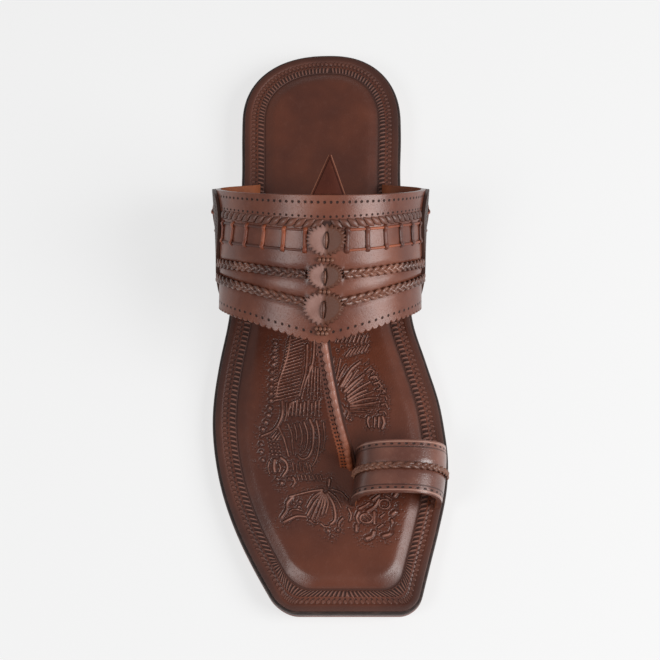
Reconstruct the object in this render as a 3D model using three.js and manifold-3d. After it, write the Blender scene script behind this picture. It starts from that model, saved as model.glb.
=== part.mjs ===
// Kolhapuri chappal for the right foot, in millimetres: +Z up, toes at -Y, big toe side at +X.
// The origin is the middle of the sole on the floor. A table's columns are shares of named sizes.
import * as THREE from "three";
import { mergeVertices } from "three/addons/utils/BufferGeometryUtils.js";
import Module from "manifold-3d";

const wasm = await Module();
wasm.setup();

// Sole, seen from above
const soleLength = 288;
const ballWidth = 112;
const heelRound = 39;
const heelSquareness = 2.3;
const toeCorner = 8.5;
const leastCorner = 3;
const toeRun = 26;

// Half widths each side of the foot's line, from the heel to the toe
const soleOutline = [
  { at: 0.0, lateral: 0.396, medial: 0.318 },
  { at: 0.16, lateral: 0.397, medial: 0.321 },
  { at: 0.24, lateral: 0.394, medial: 0.315 },
  { at: 0.36, lateral: 0.403, medial: 0.324 },
  { at: 0.5, lateral: 0.442, medial: 0.36 },
  { at: 0.575, lateral: 0.477, medial: 0.416 },
  { at: 0.64, lateral: 0.498, medial: 0.465 },
  { at: 0.69, lateral: 0.5, medial: 0.487 },
  { at: 0.745, lateral: 0.484, medial: 0.5 },
  { at: 0.8, lateral: 0.452, medial: 0.489 },
  { at: 0.86, lateral: 0.396, medial: 0.455 },
  { at: 0.92, lateral: 0.321, medial: 0.414 },
  { at: 1.0, lateral: 0.204, medial: 0.36 },
];

// Sole, seen from the side
const outsoleThickness = 4.3;
const outsoleEdgeBevel = 0.9;
const midsoleThickness = 2.2;
const midsoleEdgeBevel = 0.4;
const insoleThickness = 1.5;
const insoleSetBack = 1.4;
const insoleEdgeRound = 0.4;
const borderWidth = 11.5;
const padBevel = 5;
const padHeight = 2.5;
const padCrownInset = 22;
const padCrown = 0.4;
const heelLift = 4.2;
const heelLiftFromHeel = 71;
const heelLiftRun = 105;
const heelBreastFromHeel = 85.5;
const heelBreastHeight = 3.6;
const heelBackBevel = 1.4;
const heelBackBevelRun = 14;
const treadFromToe = 135.4;
const treadStep = 1.2;
const stepRun = 0.8;
const toeSpring = 4;
const toeSpringRun = 82;

// Fits
const layerGap = 0.3;
const seatGap = 0.3;
const slitClearance = 0.3;
const slitEndClearance = 0.7;

// Instep band: an arch over the foot whose sections lean back as they go down
const bandWall = 2.4;
const bandRearFromHeel = 111.7;
const bandLength = 59.2;
const bandLean = 39;
const bandRearHeight = 71.9;
const bandFrontHeight = 45.4;
const bandRearBulge = 29;
const bandFrontBulge = 23;
const bandRootInset = 9.6;
const bandRearOverhang = 17.8;
const bandFrontOverhang = 11.8;
const crownShiftRear = 3.6;
const crownShiftFront = 1;
const bandPoint = 6.3;
const bulgeShare = 0.32;
const rootBendShare = 0.35;

// Front edge of the band: how far it stays behind the point, against the share from crown to root
const bandFrontEdge = [
  { at: 0, back: 0 },
  { at: 0.19, back: 0.62 },
  { at: 0.37, back: 1 },
  { at: 0.7, back: 0.81 },
  { at: 1, back: -0.57 },
];
const scallopDepth = 1.5;
const scallopColumns = 3;
const scallopCount = 42;
const scallopEnd = 0.74;
const bandRows = [1, 0.94, 0.62, 0.35, 0.15, 0];

// Toe loop over the big toe
const loopWall = 2.4;
const loopRearFromToe = 75.8;
const loopLength = 24.6;
const loopFlare = 1.2;
const loopHalfWidth = 18.8;
const loopHeight = 27.4;
const loopEdgeInset = 1.6;
const loopSquareness = 2.6;
const loopTurn = 110;

// Centre strap from the point of the band to the inner foot of the toe loop
const strapThickness = 4;
const strapTopWidth = 5.5;
const strapFootWidth = 7.5;
const strapFootFromLoopRear = 8;
const strapLoopLap = 1;
const strapCornerShare = 0.8;
const strapStartShare = 0.9;
const strapRoute = [
  { across: 0, along: 0, down: 0 },
  { across: 0.02, along: 0.06, down: 0.03 },
  { across: 0.26, along: 0.37, down: 0.25 },
  { across: 0.58, along: 0.69, down: 0.5 },
  { across: 0.86, along: 0.88, down: 0.72 },
  { across: 0.97, along: 0.97, down: 0.9 },
  { across: 1, along: 1, down: 1 },
];

// Side panels, sewn over each side of the band: the height of their arched edge up the arch
const panelThickness = 1.4;
const panelArch = [
  { at: 0, up: 0.375 },
  { at: 0.03, up: 0.418 },
  { at: 0.08, up: 0.44 },
  { at: 0.16, up: 0.452 },
  { at: 0.26, up: 0.45 },
  { at: 0.4, up: 0.428 },
  { at: 0.55, up: 0.392 },
  { at: 0.68, up: 0.351 },
  { at: 0.79, up: 0.308 },
  { at: 0.9, up: 0.262 },
  { at: 1, up: 0.215 },
];
const panelFrontMargin = 0.015;

// Laced and plaited rows of the band: the share from its rear edge to its point, at crown and side
const thongWidth = 1.7;
const thongHeight = 1.1;
const laceRungs = 6;
const rungMargin = 0.02;
const braidWidth = 4.2;
const braidHeight = 1.5;
const strandDip = 0.55;
const rowEndGap = 2.8;
const rowStartGap = 1;
const rowSideReach = 0.6;
const laceRails = [
  { crown: 0.243, side: 0.278 },
  { crown: 0.385, side: 0.44 },
];
const braidLines = {
  rear: { crown: 0.55, side: 0.63 },
  front: { crown: 0.755, side: 0.76 },
};

// Laced row of a side panel: its two rails run down from the upper rear to the lower front
const panelLaceRungs = 5;
const panelLaceRails = [
  { rear: 0.09, rearUp: 0.268, front: 0.78, frontUp: 0.058 },
  { rear: 0.19, rearUp: 0.332, front: 0.88, frontUp: 0.122 },
];

// Centre spine: three lozenges joined by necks
const spineHalfWidth = 7.1;
const spineThickness = 1.9;
const spineOutline = [
  { at: 0.2, half: 0.28 },
  { at: 0.25, half: 0.72 },
  { at: 0.31, half: 1 },
  { at: 0.37, half: 0.78 },
  { at: 0.44, half: 0.48 },
  { at: 0.5, half: 0.68 },
  { at: 0.565, half: 0.9 },
  { at: 0.62, half: 0.7 },
  { at: 0.67, half: 0.46 },
  { at: 0.73, half: 0.84 },
  { at: 0.79, half: 1 },
  { at: 0.87, half: 0.7 },
  { at: 0.975, half: 0.26 },
];

// Peak tab behind the crown of the band
const peakRun = 16.4;
const peakLap = 7;
const peakHalfWidth = 8;
const peakTipHalf = 0.7;
const peakThickness = 1.8;

// Plaited cord over the toe loop
const cordWidth = 4;
const cordHeight = 1.8;
const cordEnd = 0.8;

// Rows and columns of the faceted surfaces
const cornerRows = 4;
const heelRows = 8;
const heelTurn = 85;
const rowSpacing = 9.5;
const loopColumns = 26;
const loopRows = 3;
const strapRows = 14;
const panelRows = 12;
const braidSteps = 20;
const railSteps = 9;
const panelRailSteps = 5;
const rungSteps = 2;
const cordSteps = 26;
const spineSteps = 22;
const crownColumns = 4;
const peakSteps = 6;
const slitColumns = 6;
const slitRows = 4;
const bandSlitReach = 0.1;
const loopSlitReach = 0.2;
const differenceStep = 0.002;
const edgeStep = 1;
const rowReachRounds = 4;

// Leather, edge and rubber colours
const colours = {
  outsole: { color: 0x8f6058, roughness: 0.65, metalness: 0 },
  midsole: { color: 0x3a2d2a, roughness: 0.55, metalness: 0 },
  insole: { color: 0x5e372b, roughness: 0.42, metalness: 0 },
  strap: { color: 0x6b463a, roughness: 0.38, metalness: 0 },
  thong: { color: 0x8a4a2c, roughness: 0.5, metalness: 0 },
  braid: { color: 0x6f4636, roughness: 0.5, metalness: 0 },
};

const heelEnd = soleLength / 2;
const toeEnd = -soleLength / 2;
const heelBreast = heelEnd - heelBreastFromHeel;
const treadEnd = toeEnd + treadFromToe;
const springStart = toeEnd + toeSpringRun;
const liftEnd = heelEnd - heelLiftFromHeel;
const bandRearY = heelEnd - bandRearFromHeel;
const bandFrontY = bandRearY - bandLength;
const loopRearY = toeEnd + loopRearFromToe;
const panelLift = bandWall + seatGap;

const { lerp, clamp, smoothstep, degToRad } = THREE.MathUtils;

// Smooth curve through one column of a table, with the rows' own spacing
function follow(table, column, at) {
  const last = table.length - 1;
  let i = 0;
  while (i < last - 1 && at > table[i + 1].at) {
    i += 1;
  }
  const slope = (k) => {
    const before = table[Math.max(k - 1, 0)];
    const after = table[Math.min(k + 1, last)];
    return (after[column] - before[column]) / (after.at - before.at);
  };
  const span = table[i + 1].at - table[i].at;
  const s = clamp((at - table[i].at) / span, 0, 1);
  const rise = table[i + 1][column] - table[i][column];
  const startSlope = slope(i) * span;
  const endSlope = slope(i + 1) * span;
  const curve = (startSlope + endSlope - 2 * rise) * s + (3 * rise - 2 * startSlope - endSlope);
  return table[i][column] + s * (startSlope + s * curve);
}

// A box of cells whose corners are placed one by one: closed, with its faces outwards
function bentBox(columns, rows, layers, place) {
  const box = new THREE.BoxGeometry(1, 1, 1, columns, rows, layers);
  box.deleteAttribute("normal");
  box.deleteAttribute("uv");
  box.clearGroups();
  const geometry = mergeVertices(box);
  const corners = geometry.attributes.position;
  const cell = new THREE.Vector3();
  for (let i = 0; i < corners.count; i += 1) {
    cell.fromBufferAttribute(corners, i).addScalar(0.5);
    const column = Math.round(cell.x * columns);
    const row = Math.round(cell.y * rows);
    const layer = Math.round(cell.z * layers);
    const point = place(column, row, layer);
    corners.setXYZ(i, point.x, point.y, point.z);
  }
  return geometry;
}

function toSolid(geometry) {
  const vertProperties = new Float32Array(geometry.attributes.position.array);
  const triVerts = new Uint32Array(geometry.index.array);
  return new wasm.Manifold(new wasm.Mesh({ numProp: 3, vertProperties, triVerts }));
}

function toGeometry(solid) {
  const mesh = solid.getMesh();
  const geometry = new THREE.BufferGeometry();
  geometry.setAttribute("position", new THREE.BufferAttribute(mesh.vertProperties, 3));
  geometry.setIndex(new THREE.BufferAttribute(mesh.triVerts, 1));
  return geometry;
}

function join(geometries) {
  return toGeometry(geometries.map(toSolid).reduce((whole, piece) => whole.add(piece)));
}

// Levels of the sole's layers along its length
function springAt(y) {
  const share = Math.max(0, springStart - y) / toeSpringRun;
  return toeSpring * share * share;
}

function outsoleTop(y) {
  return outsoleThickness + heelLift * smoothstep(y, liftEnd - heelLiftRun, liftEnd) + springAt(y);
}

function outsoleBottom(y) {
  if (y >= heelBreast) {
    const share = clamp((y - heelEnd + heelBackBevelRun) / heelBackBevelRun, 0, 1);
    return heelBackBevel * share * share;
  }
  if (y > treadEnd) {
    return lerp(treadStep, heelBreastHeight, (y - treadEnd) / (heelBreast - treadEnd));
  }
  return springAt(y);
}

function midsoleTop(y) {
  return outsoleTop(y) + layerGap + midsoleThickness;
}

function insoleBottom(y) {
  return midsoleTop(y) + layerGap;
}

function insoleTop(y) {
  return insoleBottom(y) + insoleThickness;
}

function edgeAt(y, side) {
  const column = side < 0 ? "lateral" : "medial";
  return ballWidth * follow(soleOutline, column, (heelEnd - y) / soleLength);
}

// Rows along the sides of the sole, with a close pair at the heel breast and at the tread's end
function sideRows() {
  const start = toeEnd + toeRun;
  const end = heelEnd - heelRound;
  const count = Math.round((end - start) / rowSpacing);
  const rows = [heelBreast, heelBreast - stepRun, treadEnd, treadEnd + stepRun];
  for (let i = 0; i <= count; i += 1) {
    const y = lerp(start, end, i / count);
    if (rows.every((other) => Math.abs(other - y) > stepRun)) {
      rows.push(y);
    }
  }
  return rows.sort((a, b) => a - b);
}

const sides = sideRows();
const soleRows = cornerRows + sides.length + heelRows - 1;

// Point of the sole's outline, set in by a distance, in a row from the toe to the heel
function outlinePoint(row, side, inset) {
  let y = 0;
  let trim = 0;
  let narrow = 1;
  if (row < cornerRows) {
    const turn = (row / cornerRows) * (Math.PI / 2);
    const corner = Math.max(toeCorner - inset, leastCorner);
    y = toeEnd + inset + corner * (1 - Math.cos(turn));
    trim = corner * (1 - Math.sin(turn));
  } else if (row < cornerRows + sides.length) {
    y = sides[row - cornerRows];
  } else {
    const turn = degToRad((heelTurn * (row - cornerRows - sides.length + 1)) / heelRows);
    y = heelEnd - heelRound + (heelRound - inset) * Math.sin(turn) ** (2 / heelSquareness);
    narrow = Math.cos(turn) ** (2 / heelSquareness);
  }
  const slope = (edgeAt(y + edgeStep, side) - edgeAt(y - edgeStep, side)) / (2 * edgeStep);
  const setIn = inset * Math.hypot(1, slope);
  return new THREE.Vector2(side * ((edgeAt(y, side) - setIn) * narrow - trim), y);
}

// A layer of the sole from rings, each with its own inset and level
function soleLayer(rings) {
  return bentBox(1, soleRows, rings.length - 1, (column, row, layer) => {
    const ring = rings[layer];
    const flat = outlinePoint(row, column === 0 ? -1 : 1, ring.inset);
    return new THREE.Vector3(flat.x, flat.y, ring.level(flat.y));
  });
}

function outsole() {
  return soleLayer([
    { inset: outsoleEdgeBevel, level: outsoleBottom },
    { inset: 0, level: (y) => outsoleBottom(y) + outsoleEdgeBevel },
    { inset: 0, level: outsoleTop },
  ]);
}

function midsole() {
  return soleLayer([
    { inset: 0, level: (y) => outsoleTop(y) + layerGap },
    { inset: 0, level: (y) => midsoleTop(y) - midsoleEdgeBevel },
    { inset: midsoleEdgeBevel, level: midsoleTop },
  ]);
}

// The insole: a flat border, a bevel and a slightly crowned padded centre, slit for the straps
function insole() {
  const whole = soleLayer([
    { inset: insoleSetBack, level: insoleBottom },
    { inset: insoleSetBack, level: (y) => insoleTop(y) - insoleEdgeRound },
    { inset: insoleSetBack + insoleEdgeRound, level: insoleTop },
    { inset: borderWidth, level: insoleTop },
    { inset: borderWidth + padBevel, level: (y) => insoleTop(y) + padHeight },
    { inset: padCrownInset, level: (y) => insoleTop(y) + padHeight + padCrown },
  ]);
  const cutters = [bandSlit(-1), bandSlit(1), loopSlit(-1), loopSlit(1), centreStrap(slitClearance)];
  const cut = cutters.map(toSolid).reduce((rest, cutter) => rest.subtract(cutter), toSolid(whole));
  return toGeometry(cut);
}

// How far the band has swept outwards at a share of the height from its root to its widest place:
// it leaves the slit upright, bends outwards and comes upright again
function outwardSweep(height) {
  if (height < rootBendShare) {
    return Math.max(height, 0) ** 2 / rootBendShare;
  }
  return 1 - (1 - height) ** 2 / (1 - rootBendShare);
}

// Inner face of the arch, in the section with its crown at crownY. The turn goes from -1 at the
// little toe side's root, by 0 at the crown, to 1 at the big toe side's root.
function archPoint(crownY, turn) {
  const share = (bandRearY - crownY) / bandLength;
  const rootY = crownY + bandLean;
  const left = bandRootInset - edgeAt(rootY, -1);
  const right = edgeAt(rootY, 1) - bandRootInset;
  const overhang = lerp(bandRearOverhang, bandFrontOverhang, share);
  const middle = (left + right) / 2;
  const halfWidth = (right - left) / 2 + overhang;
  const rootZ = insoleBottom(rootY);
  const bulgeZ = insoleTop(rootY) + lerp(bandRearBulge, bandFrontBulge, share);
  const crownZ = insoleTop(rootY) + lerp(bandRearHeight, bandFrontHeight, share);
  const up = 1 - Math.abs(turn);
  const side = Math.sign(turn);
  const point = new THREE.Vector3();
  if (up < bulgeShare) {
    point.x = middle + side * (halfWidth - overhang * (1 - outwardSweep(up / bulgeShare)));
    point.z = lerp(rootZ, bulgeZ, up / bulgeShare);
  } else {
    const angle = ((up - bulgeShare) / (1 - bulgeShare)) * (Math.PI / 2);
    const shift = lerp(crownShiftRear, crownShiftFront, share) * Math.sin(angle) ** 2;
    point.x = middle + shift + side * halfWidth * Math.cos(angle);
    point.z = lerp(bulgeZ, crownZ, Math.sin(angle));
  }
  point.y = crownY + (bandLean * (crownZ - point.z)) / (crownZ - rootZ);
  return point;
}

// Inner face of the band: along goes from 0 at the rear edge to 1 at the front edge
function bandPointAt(along, turn) {
  const front = bandFrontY + bandPoint * follow(bandFrontEdge, "back", Math.abs(turn));
  return archPoint(lerp(bandRearY, front, along), turn);
}

// Inner face of the toe loop, from its rear edge to its front edge
function loopPointAt(along, turn) {
  const angle = degToRad(90 - turn * loopTurn);
  const power = 2 / loopSquareness;
  const reach = Math.sign(Math.cos(angle)) * Math.abs(Math.cos(angle)) ** power;
  const height = Math.sign(Math.sin(angle)) * Math.abs(Math.sin(angle)) ** power;
  const foot = Math.abs(Math.sin(degToRad(90 - loopTurn))) ** power;
  const up = clamp((height + foot) / (1 + foot), 0, 1);
  const flare = loopFlare * (1 - up) * (2 * along - 1);
  const y = loopRearY - loopLength * along - flare;
  const middle = edgeAt(y, 1) - loopEdgeInset - loopWall - loopHalfWidth;
  const z = insoleBottom(y) + (loopHeight * (height + foot)) / (1 + foot);
  return new THREE.Vector3(middle + loopHalfWidth * reach, y, z);
}

// Place and outward direction on a face that is given by (along, turn)
function frameOn(face, along, turn) {
  const h = differenceStep;
  const across = face(along, turn + h).sub(face(along, turn - h));
  const back = face(along - h, turn).sub(face(along + h, turn));
  return { point: face(along, turn), normal: across.cross(back).normalize() };
}

function liftedPoint(face, along, turn, lift) {
  const { point, normal } = frameOn(face, along, turn);
  return point.addScaledVector(normal, lift);
}

// The same, kept above what the strap's root stands on
function rootedPoint(face, along, turn, lift) {
  const point = liftedPoint(face, along, turn, lift);
  point.z = Math.max(point.z, insoleBottom(point.y));
  return point;
}

// A cutter through the insole round one root of a strap
function slit(face, wall, side, reach, length) {
  const endShare = slitEndClearance / length;
  return bentBox(slitColumns, slitRows, 1, (column, row, layer) => {
    const turn = side + reach * ((2 * column) / slitColumns - 1);
    const along = lerp(1 + endShare, -endShare, row / slitRows);
    const lift = layer === 0 ? -slitClearance : wall + slitClearance;
    return liftedPoint(face, along, turn, lift);
  });
}

function bandSlit(side) {
  return slit(bandPointAt, panelLift + panelThickness, side, bandSlitReach, bandLength);
}

function loopSlit(side) {
  return slit(loopPointAt, loopWall, side, loopSlitReach, loopLength);
}

// Centre line and half width of the strap at a share of its route
function strapFoot() {
  const y = loopRearY - strapFootFromLoopRear;
  const loopSide = liftedPoint(loopPointAt, strapFootFromLoopRear / loopLength, -1, loopWall);
  const x = loopSide.x - strapFootWidth / 2 + strapLoopLap;
  return new THREE.Vector3(x, y, insoleBottom(y));
}

function strapCurve() {
  const top = liftedPoint(bandPointAt, strapStartShare, 0, bandWall - strapThickness / 2);
  const foot = strapFoot();
  const points = strapRoute.map(({ across, along, down }) => new THREE.Vector3(
    lerp(top.x, foot.x, across),
    lerp(top.y, foot.y, along),
    lerp(top.z, foot.z, down),
  ));
  return new THREE.CatmullRomCurve3(points, false, "centripetal");
}

// The strap, or with a clearance the slit that it goes through
function centreStrap(clearance = 0) {
  const curve = strapCurve();
  return bentBox(2, strapRows, 2, (column, row, layer) => {
    const share = 1 - row / strapRows;
    const middle = curve.getPointAt(share);
    const tangent = curve.getTangentAt(share).negate();
    const across = new THREE.Vector3(1, 0, 0).addScaledVector(tangent, -tangent.x).normalize();
    const out = new THREE.Vector3().crossVectors(across, tangent);
    const halfWidth = lerp(strapTopWidth, strapFootWidth, share) / 2;
    const corner = column !== 1 && layer !== 1 ? strapCornerShare : 1;
    middle.addScaledVector(across, (halfWidth * corner + clearance) * (column - 1));
    middle.addScaledVector(out, ((strapThickness / 2) * corner + 2 * clearance) * (layer - 1));
    const drop = row === 0 && clearance > 0 ? insoleThickness : 0;
    middle.z = Math.max(middle.z, insoleBottom(middle.y)) - drop;
    return middle;
  });
}

// The front edge is pinked into small lobes down to where the side panels begin
function frontLobe(column, turn) {
  if (Math.abs(turn) > scallopEnd) {
    return 0;
  }
  return column % scallopColumns === 0 ? 0 : scallopDepth / bandLength;
}

function band() {
  const columns = scallopColumns * scallopCount;
  return bentBox(columns, bandRows.length - 1, 1, (column, row, layer) => {
    const turn = lerp(-1, 1, column / columns);
    const lobe = row === 0 ? frontLobe(column, turn) : 0;
    return rootedPoint(bandPointAt, bandRows[row] + lobe, turn, bandWall * layer);
  });
}

function toeLoop() {
  return bentBox(loopColumns, loopRows, 1, (column, row, layer) => {
    const turn = lerp(-1, 1, column / loopColumns);
    return rootedPoint(loopPointAt, 1 - row / loopRows, turn, loopWall * layer);
  });
}

// The upper is one piece: the band, the strap from its point and the loop that the strap joins
function upper() {
  return join([band(), centreStrap(), toeLoop()]);
}

// A side panel lies on the band from its root up to an arched edge
function sidePanel(side) {
  const sections = panelArch.length - 1;
  return bentBox(panelRows, sections, 1, (column, row, layer) => {
    const { at, up } = panelArch[sections - row];
    const share = (side < 0 ? column : panelRows - column) / panelRows;
    const lift = panelLift + panelThickness * layer;
    return rootedPoint(bandPointAt, at * (1 - panelFrontMargin), side * (1 - up * share), lift);
  });
}

// A ribbon laid on a face along a route of (along, turn), with its own width and heights
function ribbon(face, route, steps, columns, halfWidth, lift) {
  const frames = (share) => {
    const { along, turn } = route(share);
    return frameOn(face, along, turn);
  };
  return bentBox(columns, steps, 1, (column, row, layer) => {
    const share = row / steps;
    const { point, normal } = frames(share);
    const ahead = frames(Math.min(share + differenceStep, 1)).point;
    const tangent = ahead.sub(frames(Math.max(share - differenceStep, 0)).point).normalize();
    const across = tangent.cross(normal).normalize();
    point.addScaledVector(across, halfWidth(share) * ((2 * column) / columns - 1));
    return point.addScaledVector(normal, lift(column, row, layer));
  });
}

// Place of a row of the band at a turn, between its share at the crown and its share at the side
function rowAlong(row, turn) {
  return lerp(row.crown, row.side, Math.abs(turn) / rowSideReach);
}

// Where a row of the band starts beside the spine and ends at the side panel
function rowReach(row) {
  const arc = crownArc(row.crown);
  const start = (spineHalfWidth + rowStartGap) / arc;
  let end = rowSideReach;
  for (let i = 0; i < rowReachRounds; i += 1) {
    end = 1 - follow(panelArch, "up", rowAlong(row, end)) - rowEndGap / arc;
  }
  return { start, end };
}

function rowRoute(row, side) {
  const { start, end } = rowReach(row);
  return (share) => {
    const turn = side * lerp(start, end, share);
    return { along: rowAlong(row, turn), turn };
  };
}

function straightRoute(from, to) {
  return (share) => ({
    along: lerp(from.along, to.along, share),
    turn: lerp(from.turn, to.turn, share),
  });
}

// Two rails of thong with rungs between them, joined where they cross
function ladder(railA, railB, rungs, base, steps) {
  const half = () => thongWidth / 2;
  const lift = (column, row, layer) => base + thongHeight * layer;
  const pieces = [railA, railB].map((rail) => ribbon(bandPointAt, rail, steps, 1, half, lift));
  for (let i = 0; i < rungs; i += 1) {
    const share = lerp(rungMargin, 1 - rungMargin, i / (rungs - 1));
    const rung = straightRoute(railA(share), railB(share));
    pieces.push(ribbon(bandPointAt, rung, rungSteps, 1, half, lift));
  }
  return join(pieces);
}

function bandLacing(side) {
  const [railA, railB] = laceRails.map((row) => rowRoute(row, side));
  return ladder(railA, railB, laceRungs, panelLift, railSteps);
}

function panelLacing(side) {
  const [railA, railB] = panelLaceRails.map(({ rear, rearUp, front, frontUp }) => straightRoute(
    { along: rear, turn: side * (1 - rearUp) },
    { along: front, turn: side * (1 - frontUp) },
  ));
  return ladder(railA, railB, panelLaceRungs, panelLift + panelThickness + seatGap, panelRailSteps);
}

// A plait: its two outer columns rise in turn, and the middle stays high
function plait(face, route, steps, width, height, base) {
  const lift = (column, row, layer) => {
    const strand = (row + column / 2) % 2 === 0 ? 1 : strandDip;
    return base + layer * height * (column === 1 ? 1 : strand);
  };
  return ribbon(face, route, steps, 2, () => width / 2, lift);
}

function bandBraid(line, side) {
  return plait(bandPointAt, rowRoute(line, side), braidSteps, braidWidth, braidHeight, panelLift);
}

function toeLoopCord() {
  const route = (share) => ({ along: 0.5, turn: lerp(-cordEnd, cordEnd, share) });
  return plait(loopPointAt, route, cordSteps, cordWidth, cordHeight, loopWall + seatGap);
}

// Length across the crown of the band for a whole turn
function crownArc(along) {
  const h = differenceStep;
  return bandPointAt(along, h).distanceTo(bandPointAt(along, -h)) / (2 * h);
}

// A strip down the crown of the band that bends over it, from one share of its length to another
function crownStrip(start, end, steps, halfWidth, lift) {
  return bentBox(crownColumns, steps, 1, (column, row, layer) => {
    const along = lerp(start, end, row / steps);
    const turn = (halfWidth(along) / crownArc(along)) * ((2 * column) / crownColumns - 1);
    return liftedPoint(bandPointAt, along, turn, lift(layer));
  });
}

// Three lozenges down the crown, in one strip
function centreSpine() {
  const half = (along) => spineHalfWidth * follow(spineOutline, "half", along);
  const lift = (layer) => panelLift + spineThickness * layer;
  const rear = spineOutline[0].at;
  const front = spineOutline[spineOutline.length - 1].at;
  return crownStrip(front, rear, spineSteps, half, lift);
}

// A pointed tab that comes out from under the rear edge and carries on along the crown's line
function peakTab() {
  const tip = -peakRun / bandLength;
  const half = (along) => lerp(peakHalfWidth, peakTipHalf, clamp(along / tip, 0, 1));
  const lift = (layer) => -seatGap - peakThickness * (1 - layer);
  return crownStrip(peakLap / bandLength, tip, peakSteps, half, lift);
}

const chappal = new THREE.Group();

function add(name, geometry, finish) {
  const material = new THREE.MeshStandardMaterial(finish);
  const mesh = new THREE.Mesh(geometry, material);
  mesh.name = name;
  chappal.add(mesh);
}

add("outsole", outsole(), colours.outsole);
add("midsole", midsole(), colours.midsole);
add("insole", insole(), colours.insole);
add("upper", upper(), colours.strap);
for (const [name, side] of [["lateral", -1], ["medial", 1]]) {
  add(`side_panel_${name}`, sidePanel(side), colours.strap);
  add(`band_lacing_${name}`, bandLacing(side), colours.thong);
  add(`panel_lacing_${name}`, panelLacing(side), colours.thong);
  add(`braid_rear_${name}`, bandBraid(braidLines.rear, side), colours.braid);
  add(`braid_front_${name}`, bandBraid(braidLines.front, side), colours.braid);
}
add("centre_spine", centreSpine(), colours.strap);
add("peak_tab", peakTab(), colours.strap);
add("toe_loop_cord", toeLoopCord(), colours.braid);

export default chappal;
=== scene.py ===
"""Kolhapuri chappal for the right foot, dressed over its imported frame.

Sizes are in millimetres, as a maker gives them, and a finished mesh is scaled to metres. +Z is up, the
toes are at -Y and the big toe side is at +X. Along a strap, "along" goes from its rear edge at 0 to its
front edge at 1, and "turn" from its little toe side root at -1, by its crown at 0, to 1.
"""

from __future__ import annotations

import logging
import math
from abc import ABC, abstractmethod
from bisect import bisect_right
from collections.abc import Callable, Mapping, Sequence
from dataclasses import dataclass
from enum import Enum
from functools import cache
from itertools import pairwise
from typing import TypeVar

import bmesh
import bpy
import numpy as np
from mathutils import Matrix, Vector

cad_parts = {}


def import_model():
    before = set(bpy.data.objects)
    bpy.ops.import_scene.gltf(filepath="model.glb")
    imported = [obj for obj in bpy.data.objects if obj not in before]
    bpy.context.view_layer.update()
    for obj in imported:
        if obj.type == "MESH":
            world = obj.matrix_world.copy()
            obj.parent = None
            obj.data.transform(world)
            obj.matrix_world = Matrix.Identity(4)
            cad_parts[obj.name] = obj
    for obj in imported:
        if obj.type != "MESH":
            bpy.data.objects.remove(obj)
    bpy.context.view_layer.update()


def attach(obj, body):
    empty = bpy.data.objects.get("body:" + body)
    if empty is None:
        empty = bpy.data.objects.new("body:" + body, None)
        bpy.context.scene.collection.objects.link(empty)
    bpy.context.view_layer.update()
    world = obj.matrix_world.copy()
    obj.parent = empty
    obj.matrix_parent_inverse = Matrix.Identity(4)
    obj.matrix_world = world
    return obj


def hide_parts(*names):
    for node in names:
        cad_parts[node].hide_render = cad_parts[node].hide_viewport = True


MM = 0.001
LOG = logging.getLogger("chappal")
PATTERN_MAP = "Pattern"
# a corner's place, from its column, row and layer
Place = Callable[[int, int, int], Vector]
# its place in the piece's own pattern, from the same
Pattern = Callable[[int, int, int], tuple[float, float]]
# a size or level, from the place along the sole
Shape = Callable[[float], float]
# a place on a strap as (along, turn), from the share of the way
Route = Callable[[float], tuple[float, float]]
Spot = TypeVar("Spot", Vector, np.ndarray)


def lerp(start: float, end: float, share: float) -> float:
    """The value at a share of the way from start to end."""
    return start + (end - start) * share


def clamp(value: float, low: float = 0.0, high: float = 1.0) -> float:
    """The value, kept between low and high."""
    return min(max(value, low), high)


def smooth(value: float, low: float, high: float) -> float:
    """A soft step from 0 at low to 1 at high."""
    share = clamp((value - low) / (high - low))
    return share * share * (3 - 2 * share)


def blend(start: Spot, end: Spot, leave: Spot, arrive: Spot, share: float) -> Spot:
    """A point of the smooth curve between two points, from the pulls at its two ends."""
    bend = (start - end) * 2 + leave + arrive
    curve = (end - start) * 3 - leave * 2 - arrive
    return start + (leave + (curve + bend * share) * share) * share


def running_lengths(points: Sequence[Vector], start: float = 0.0) -> list[float]:
    """Length along a line of points, up to each of them."""
    lengths = [start]
    for before, after in pairwise(points):
        lengths.append(lengths[-1] + (after - before).length)
    return lengths


def signed_power(value: float, power: float) -> float:
    """A power of a value's size that keeps its sign."""
    return math.copysign(abs(value) ** power, value)


@dataclass(frozen=True)
class Curve:
    """A smooth curve through values at given places."""

    places: tuple[float, ...]
    values: tuple[float, ...]

    def slope(self, index: int) -> float:
        """The curve's slope at one of its places."""
        before = max(index - 1, 0)
        after = min(index + 1, len(self.places) - 1)
        return (self.values[after] - self.values[before]) / (self.places[after] - self.places[before])

    def __call__(self, at: float) -> float:
        """The curve's value.

        Args:
            at: The place, held at the curve's ends outside them.

        Returns:
            The value there.
        """
        i = int(clamp(bisect_right(self.places, at) - 1, 0, len(self.places) - 2))
        span = self.places[i + 1] - self.places[i]
        s = clamp((at - self.places[i]) / span)
        rise = self.values[i + 1] - self.values[i]
        start, end = self.slope(i) * span, self.slope(i + 1) * span
        bend = (start + end - 2 * rise) * s + (3 * rise - 2 * start - end)
        return self.values[i] + s * (start + s * bend)


class Side(Enum):
    """The two sides of the foot, with the sign of X on each."""

    LATERAL = -1
    MEDIAL = 1


# shader maths


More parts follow.
